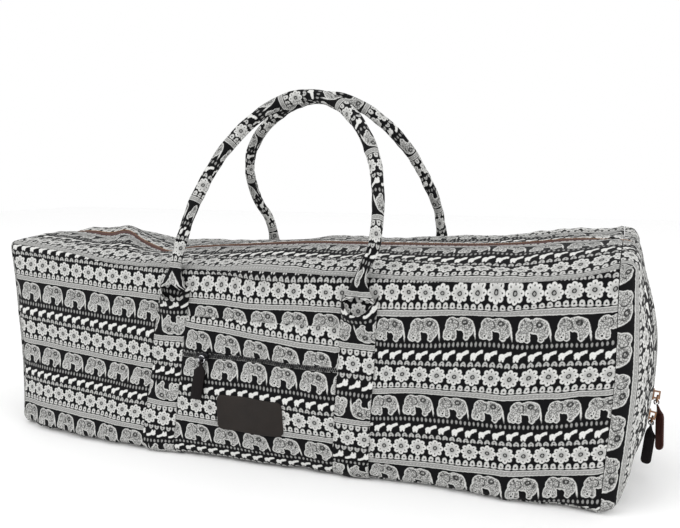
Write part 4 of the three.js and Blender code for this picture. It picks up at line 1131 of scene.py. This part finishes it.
coil_us = np.arange(0.01, 0.99, COIL_PITCH / POCKET_WIDTH)
coil_spots = []
for row_at, row_shift in ((-1.05, 0.0), (1.05, 0.5)):
    u = coil_us + row_shift * COIL_PITCH / POCKET_WIDTH
    way = np.full(len(u), ZIP_WAY + row_at)
    points = side_point(pocket_x(u, way), way, LAY + COIL_LIFT, FRONT)
    off = side_point(pocket_x(u, way), way, LAY + COIL_LIFT + 1, FRONT) - points
    coil_spots += placed(points, off, (0.72, 1.25, 0.55))
beads("pocket_coil", coil_spots, black_nylon, ("pocket_zip",))


# The bare leather patch, cut with round corners, its edge pressed thinner and dyed, laid on the
# pocket and bent with it.
PATCH_WIDTH = 73.0
PATCH_HEIGHT = 37.0
PATCH_THICK = 1.8
PATCH_CORNER = 6.0
PATCH_LEFT = 48.5  # from the bag's middle to the patch's left edge
PATCH_SKEW = 0.13  # how far its foot leans to the right, for each millimetre down
PATCH_FOOT = 37.0  # height of its lower edge

patch_leather, tree, shader = material("dark brown leather", "#1d1816", 0.66)
shader.inputs["Specular IOR Level"].default_value = 0.22
hide = put(tree, "ShaderNodeTexCoord").outputs["Object"]
pores = put(tree, "ShaderNodeTexVoronoi", {0: hide, "Scale": 950.0}, feature="SMOOTH_F1")
creases = put(tree, "ShaderNodeTexNoise", {0: hide, "Scale": 160.0, "Detail": 5.0, "Roughness": 0.62})
clouds = put(tree, "ShaderNodeTexNoise", {0: hide, "Scale": 42.0, "Detail": 3.0})
stain = put(tree, MIX, {0: clouds, 6: linear("#16120f"), 7: linear("#28221f")}, data_type="RGBA")
speck = put(tree, "ShaderNodeMapRange", (creases.outputs[0], 0.3, 0.72, 0.78, 1.18))
dyed = put(tree, VECTOR, {0: stain.outputs[2], "Scale": speck.outputs[0]}, operation="SCALE")
tree.links.new(dyed.outputs[0], shader.inputs["Base Color"])
grain = put(tree, MATH, (pores.outputs[0], 0.6, creases.outputs[0]), operation="MULTIPLY_ADD")
bump = put(tree, "ShaderNodeBump", {"Strength": 0.5, "Distance": 0.0003, "Height": grain})
tree.links.new(bump.outputs[0], shader.inputs["Normal"])
rubbed = put(tree, "ShaderNodeMapRange", (creases.outputs[0], 0.3, 0.7, 0.5, 0.72))
tree.links.new(rubbed.outputs[0], shader.inputs["Roughness"])


def patch_place(x, z, lift):
    """Points over the pocket, from a place on the patch counted from its lower left corner."""
    skewed = x + PATCH_SKEW * (PATCH_HEIGHT / 2 - z)
    y = np.full_like(x, -HALF_DEPTH) - (LAY + POCKET_THICK + lift)
    return fill(-PATCH_LEFT + skewed, y, PATCH_FOOT + z)


u, v, faces = grid(spaced(-1, 1, 0.05, (0.01, 0.025)), spaced(-1, 1, 0.08, (0.02, 0.05)))
half_w, half_h = PATCH_WIDTH / 2, PATCH_HEIGHT / 2


def past_corner(x, z):
    """How far a place lies past where the round corners begin, sideways and upwards."""
    return [np.maximum(np.abs(p) - half + PATCH_CORNER, 0) for p, half in ((x, half_w), (z, half_h))]


x, z = u * half_w, v * half_h
over_x, over_z = past_corner(x, z)
over = np.hypot(over_x, over_z)
in_corner = (over > 1e-6) & (over_x > 0) & (over_z > 0)
pull_in = np.where(in_corner, np.maximum(over_x, over_z) / np.maximum(over, 1e-6), 1)
x = np.sign(x) * (np.abs(x) - over_x + over_x * pull_in)
z = np.sign(z) * (np.abs(z) - over_z + over_z * pull_in)
edge = np.maximum(PATCH_CORNER - np.hypot(*past_corner(x, z)), 0)
off = slack(x - PATCH_LEFT + half_w, way_at(z + PATCH_FOOT + half_h), FRONT) + 1.6
face_off = PATCH_THICK * (0.55 + 0.45 * smooth(edge, 0, 1.5)) - 0.35 * bell(edge - 2.6, 0.5)
shell(
    "leather_patch_hide",
    patch_place(x + half_w, z + half_h, off + face_off),
    patch_place(x + half_w, z + half_h, off),
    faces,
    np.stack((x, z), axis=-1),
    patch_leather,
    ("leather_patch",),
)


# The main zip: two tapes of reddish brown woven polyester, sewn in under the hems beside the slot,
# each with a row of small antique brass teeth on its inner edge. A full bag pushes the tapes up
# between the hems, so that they show from the side.
TAPE_HALF = 14.0
TAPE_THICK = 0.9
TAPE_LAY = 1.4
TOOTH_PITCH = 2.5
TAPE_RIBS = (0.9, 1.3)  # their pitch along the tape and across it
ROOF_TAPE_LEVEL = 0.5
END_TAPE_LEVEL = -2.6
WRAP_DEPTH = END_WRAP * HEIGHT / DEPTH
ZIP_LENGTH = HALF_SPAN + WRAP_LENGTH + ZIP_DROP - WRAP_DEPTH - 2 * END_GAP

woven_tape, tree, shader = material("brown woven polyester tape", "#4d312c", 0.9, sheen_weight=0.05)
tape_uv = put(tree, "ShaderNodeUVMap", uv_map="cloth")
tape_mm = put(tree, VECTOR, {0: tape_uv, "Scale": 1000.0}, operation="SCALE")
tape_ways = put(tree, "ShaderNodeSeparateXYZ", (tape_mm,))
ribs = []
for tape_way, pitch in zip(tape_ways.outputs, TAPE_RIBS):
    phase = put(tree, MATH, (tape_way, 2 * math.pi / pitch), operation="MULTIPLY")
    ribs.append(put(tree, MATH, (phase,), operation="SINE"))
knit = put(tree, MATH, (ribs[0], 0.5, ribs[1]), operation="MULTIPLY_ADD")
tape_fleck = put(tree, "ShaderNodeTexNoise", {0: tape_mm, "Scale": 0.9, "Detail": 3.0})
tape_tone = put(tree, MIX, {0: tape_fleck, 6: linear("#3f2723"), 7: linear("#5c3d37")}, data_type="RGBA")
tree.links.new(tape_tone.outputs[2], shader.inputs["Base Color"])
bump = put(tree, "ShaderNodeBump", {"Strength": 0.5, "Distance": 0.00012, "Height": knit})
tree.links.new(bump.outputs[0], shader.inputs["Normal"])

antique_brass, tree, shader = material("antique brass", "#8c6a52", 0.38, metallic=1.0)
tarnish = put(tree, "ShaderNodeTexNoise", {"Scale": 420.0, "Detail": 3.0})
brass_tone = put(tree, MIX, {0: tarnish, 6: linear("#6f5140"), 7: linear("#a58163")}, data_type="RGBA")
tree.links.new(brass_tone.outputs[2], shader.inputs["Base Color"])
brass_rough = put(tree, "ShaderNodeMapRange", (tarnish.outputs[0], 0.3, 0.7, 0.28, 0.5))
tree.links.new(brass_rough.outputs[0], shader.inputs["Roughness"])


def zip_point(length, y, lift):
    """Points on the line of the main zip: along the roof, round each wrap and down the end."""
    past = np.abs(length) - HALF_SPAN
    turn = np.clip(past / END_WRAP, 0, math.pi / 2)
    down = np.maximum(past - WRAP_LENGTH, 0)
    wrap = np.where(length < 0, WRAP_OUT[-1], WRAP_OUT[1])
    reach = np.minimum(np.abs(length), HALF_SPAN) + END_GAP * smooth(past, 0, 2) + wrap * np.sin(turn)
    x = np.sign(length) * (reach + lift * np.sin(turn))
    return fill(x, y, HEIGHT - WRAP_DEPTH * (1 - np.cos(turn)) - down + lift * np.cos(turn))


def tape_level(length, y):
    """How high the tape lies against the roof's skin: low under the hems, and up between them."""
    low = -WALL - TAPE_LAY
    on_end = smooth(np.abs(length), HALF_SPAN - 45, HALF_SPAN + 6)
    high = ROOF_TAPE_LEVEL + (END_TAPE_LEVEL - ROOF_TAPE_LEVEL) * on_end
    return low + (high - low) * (1 - smooth(np.abs(y), 4.0, SLOT_HALF + 0.3))


tape_run = spaced(-ZIP_LENGTH, ZIP_LENGTH, 4.0)
for side, tape_name in ((FRONT, "front"), (BACK, "back")):
    tape_across = np.concatenate(([GAP / 2], np.arange(1.2, TAPE_HALF, 0.9), [TAPE_HALF]))
    length, y, faces = grid(tape_run, tape_across)
    level = tape_level(length, y) - 0.3 * bell(y - TAPE_HALF, 0.7)
    shell(
        "zip_tape_" + tape_name + "_cloth",
        zip_point(length, side * y, level),
        zip_point(length, side * y, level - TAPE_THICK),
        faces if side == BACK else faces[:, ::-1],
        np.stack((length, side * y), axis=-1),
        woven_tape,
        ("zip_tape_" + tape_name,),
    )

tooth_spots = []
for side, row_shift in ((FRONT, 0.0), (BACK, 0.5)):
    length = np.arange(-ZIP_LENGTH + 1.5 + row_shift * TOOTH_PITCH, ZIP_LENGTH - 1.5, TOOTH_PITCH)
    y = np.full(len(length), side * 1.0)
    points = zip_point(length, y, tape_level(length, y) + 0.45)
    off = zip_point(length, y, tape_level(length, y) + 1.45) - points
    tooth_spots += placed(points, off, (0.62, 1.7, 0.62))
beads("zip_teeth", tooth_spots, antique_brass, ("zip_chain",))


# The sliders are die-cast and stay as the plain castings they are, with worn edges. Each carries a
# ring of round wire, and a pull that is a strip of leather folded round the ring and sewn to itself.
PLATE_THICK = 2.4
POST = 1.4
BRIDGE_HALF = 3.3
RING_RADIUS = 3.4
RING_WIRE = 0.75
RING_PLAY = 0.6
PULL_THICK = 2.8
PULL_NECK = 3.4
PULL_NECK_HALF = 0.8  # half its thickness there
PULL_FOLD = 1.0
PULL_SHOULDER = 9.0
CHAIN_TOP = -0.6
UPPER_SLIDER_UP = 25.0
LOWER_SLIDER_UP = 6.0
POCKET_SLIDER_IN = 29.0
RING_SAG = RING_RADIUS - math.sqrt(RING_RADIUS**2 - (PULL_NECK / 2) ** 2)
PULL_HOLE = RING_WIRE + RING_SAG / 2 + RING_PLAY
RING_LEVEL = PULL_HOLE + PULL_FOLD + GAP
RING_DOWN = RING_RADIUS - RING_WIRE - GAP - POST / 2


def plain_metal(name, color, low, high):
    """A metal whose roughness wanders between two values, as handling leaves it."""
    made, tree, shader = material(name, color, (low + high) / 2, metallic=1.0)
    rubs = put(tree, "ShaderNodeTexNoise", {"Scale": 380.0, "Detail": 3.0})
    rough = put(tree, "ShaderNodeMapRange", (rubs.outputs[0], 0.3, 0.7, low, high))
    tree.links.new(rough.outputs[0], shader.inputs["Roughness"])
    return made


def strap_leather(name, dark, light):
    """A smooth dyed leather, a little polished where it is handled."""
    made, tree, shader = material(name, dark, 0.55)
    shader.inputs["Specular IOR Level"].default_value = 0.13
    place = put(tree, "ShaderNodeTexCoord").outputs["Object"]
    pores = put(tree, "ShaderNodeTexVoronoi", {0: place, "Scale": 1300.0}, feature="SMOOTH_F1")
    creases = put(tree, "ShaderNodeTexNoise", {0: place, "Scale": 260.0, "Detail": 4.0})
    tone = put(tree, MIX, {0: creases, 6: linear(dark), 7: linear(light)}, data_type="RGBA")
    tree.links.new(tone.outputs[2], shader.inputs["Base Color"])
    bump = put(tree, "ShaderNodeBump", {"Strength": 0.4, "Distance": 0.0002, "Height": pores.outputs[0]})
    tree.links.new(bump.outputs[0], shader.inputs["Normal"])
    return made


black_steel = plain_metal("black oxide steel", "#3b3b3e", 0.3, 0.5)
nickel_wire = plain_metal("nickel plated wire", "#c9c9cc", 0.16, 0.3)
brown_leather = strap_leather("brown strap leather", "#2c1713", "#442721")
black_leather = strap_leather("black strap leather", "#080506", "#140d0e")


def turned_about(axis, degrees):
    c, s = math.cos(math.radians(degrees)), math.sin(math.radians(degrees))
    if axis == "x":
        return np.array([[1, 0, 0], [0, c, -s], [0, s, c]])
    return np.array([[c, 0, s], [0, 1, 0], [-s, 0, c]])


def unit(vector):
    return vector / np.linalg.norm(vector)


def hung_on(here, onward, aside, hang, swing, lean):
    """Places and turns of a ring and its pull, from three neighbouring points of the cloth.

    hang turns both in the cloth's plane, swing lifts the pull off it and lean turns it sideways, all
    in degrees.
    """
    back, across = unit(onward - here), unit(aside - here)
    out = unit(np.cross(back, across))
    across = unit(np.cross(out, back))
    seat = np.column_stack((across, out, np.cross(across, out)))
    turn = seat @ turned_about("y", hang)
    post = here + seat @ np.array([0, RING_LEVEL, -BRIDGE_HALF])
    ring = post + turn @ np.array([0, 0, -RING_DOWN])
    pull = post + turn @ np.array([0, 0, -RING_DOWN - RING_RADIUS])
    plumb = math.degrees(math.asin(-out[2])) if hang == 0 else 0
    return ring, turn, pull, turn @ turned_about("x", swing + plumb) @ turned_about("y", lean)


def wire_ring(name, at, turn, finish, slot):
    """A closed ring of round wire."""
    a, b, faces = grid(np.linspace(0, 2 * math.pi, 49), np.linspace(0, 2 * math.pi, 13))
    reach = RING_RADIUS + RING_WIRE * np.cos(b)
    points = np.stack((reach * np.cos(a), RING_WIRE * np.sin(b), reach * np.sin(a)), axis=-1) @ turn.T + at
    ring = new_piece(name + "_wire", points, faces, finish, (name,))
    ring.data.validate()


def leather_pull(name, at, turn, finish, slot, width, length, blunt, twist, bend):
    """A strip folded round its ring, twisted and bent by some degrees: a bar below, a loop above."""
    neck = np.linspace(PULL_HOLE + 0.4, PULL_SHOULDER, 12)
    z = -np.concatenate((neck, np.linspace(PULL_SHOULDER, length, 60)[1:]))
    down = np.clip(-z / PULL_SHOULDER, 0, 1)
    half = PULL_NECK / 2 + (width - PULL_NECK) / 2 * smooth(down, 0.3, 1.0)
    to_end = np.clip((length + z) / (width / 2), 0, 1)
    half = half * np.maximum((1 - (1 - to_end) ** blunt), 0) ** (1 / blunt)
    half = np.maximum(half, 0.02)
    thick = PULL_NECK_HALF + (PULL_THICK / 2 - PULL_NECK_HALF) * smooth(down, 0.2, 0.7)
    thick = thick * np.maximum(1 - (1 - to_end) ** 6, 0.03) ** 0.5
    i, phi, faces = grid(np.arange(len(z)), np.linspace(0, 2 * math.pi, 37))
    i = i.astype(int)
    c, s = np.cos(phi), np.sin(phi)
    x = half[i] * np.sign(c) * np.abs(c) ** 0.55
    crease = 0.22 * bell(half[i] - np.abs(x) - 1.3, 0.35) * smooth(half[i], 2.2, 3.5)
    y = (thick[i] - crease) * np.sign(s) * np.abs(s) ** 0.45
    spun = math.radians(twist) * smooth(-z[i], 3, 16)
    hanging = -math.tan(math.radians(bend)) * np.maximum(-z[i] - 11, 0)
    c, s = np.cos(spun), np.sin(spun)
    bar = np.stack((x * c - y * s, x * s + y * c + hanging, z[i]), axis=-1)
    loop_run = np.linspace(math.radians(-52), math.radians(232), 30)
    v, w, loop_faces = grid(loop_run, np.linspace(0, 2 * math.pi, 17))
    reach = PULL_HOLE + PULL_FOLD / 2 + PULL_FOLD / 2 * np.sin(w)
    across = PULL_NECK / 2 * np.sign(np.cos(w)) * np.abs(np.cos(w)) ** 0.4
    loop = np.stack((across, reach * np.cos(v), reach * np.sin(v) + RING_SAG / 2), axis=-1)
    points = np.concatenate((bar, loop)) @ turn.T + at
    all_faces = np.concatenate((faces, loop_faces + len(bar)))
    pull = new_piece(name + "_strip", points, all_faces, finish, (name,))
    pull.data.validate()


def end_seat(up):
    """Three neighbouring points on an end slider's face: here, one along the zip and one across it."""
    lift = CHAIN_TOP + GAP + PLATE_THICK
    return zip_point(ZIP_LENGTH - up - np.array([0.0, 1.0, 0.0]), -np.array([0.0, 0.0, 1.0]), lift)


def pocket_seat():
    """The same three points on the pocket's slider."""
    x = pocket_x(0, ZIP_WAY) + POCKET_SLIDER_IN
    lift = LAY + POCKET_THICK + GAP + PLATE_THICK
    y, z, ny, nz = outline(np.array([ZIP_WAY, ZIP_WAY, ZIP_WAY - 1]))
    return fill(x + np.array([0.0, 1.0, 0.0]), -(y + lift * ny), z + lift * nz)


HANGING = {
    "end_upper": {
        "seat": end_seat(UPPER_SLIDER_UP),
        "turns": {"hang": 0, "swing": 18, "lean": -5},
        "pull": {"width": 9.5, "length": 44.0, "blunt": 2.0, "twist": 45, "bend": 16},
        "metals": (antique_brass, antique_brass, "zip_metal"),
        "leather": (brown_leather, "brown_leather"),
    },
    "end_lower": {
        "seat": end_seat(LOWER_SLIDER_UP),
        "turns": {"hang": 0, "swing": 0, "lean": 9},
        "pull": {"width": 9.5, "length": 44.0, "blunt": 2.0, "twist": 75, "bend": 5},
        "metals": (antique_brass, antique_brass, "zip_metal"),
        "leather": (black_leather, "black_leather"),
    },
    "pocket": {
        "seat": pocket_seat(),
        "turns": {"hang": 90, "swing": 9, "lean": -5},
        "pull": {"width": 12.5, "length": 38.0, "blunt": 3.6, "twist": 0, "bend": 0},
        "metals": (black_steel, nickel_wire, "bright_metal"),
        "leather": (black_leather, "black_leather"),
    },
}
for hung_name, hung in HANGING.items():
    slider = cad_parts[hung_name + "_slider"]
    slider.data.materials.clear()
    slider.data.materials.append(hung["metals"][0])
    worn_edges = slider.modifiers.new("worn edges", "BEVEL")
    worn_edges.width = 0.35 * MM
    worn_edges.segments = 3
    ring_at, ring_turn, pull_at, pull_turn = hung_on(*hung["seat"], **hung["turns"])
    wire_ring(hung_name + "_ring", ring_at, ring_turn, *hung["metals"][1:])
    leather_pull(hung_name + "_pull", pull_at, pull_turn, *hung["leather"], **hung["pull"])
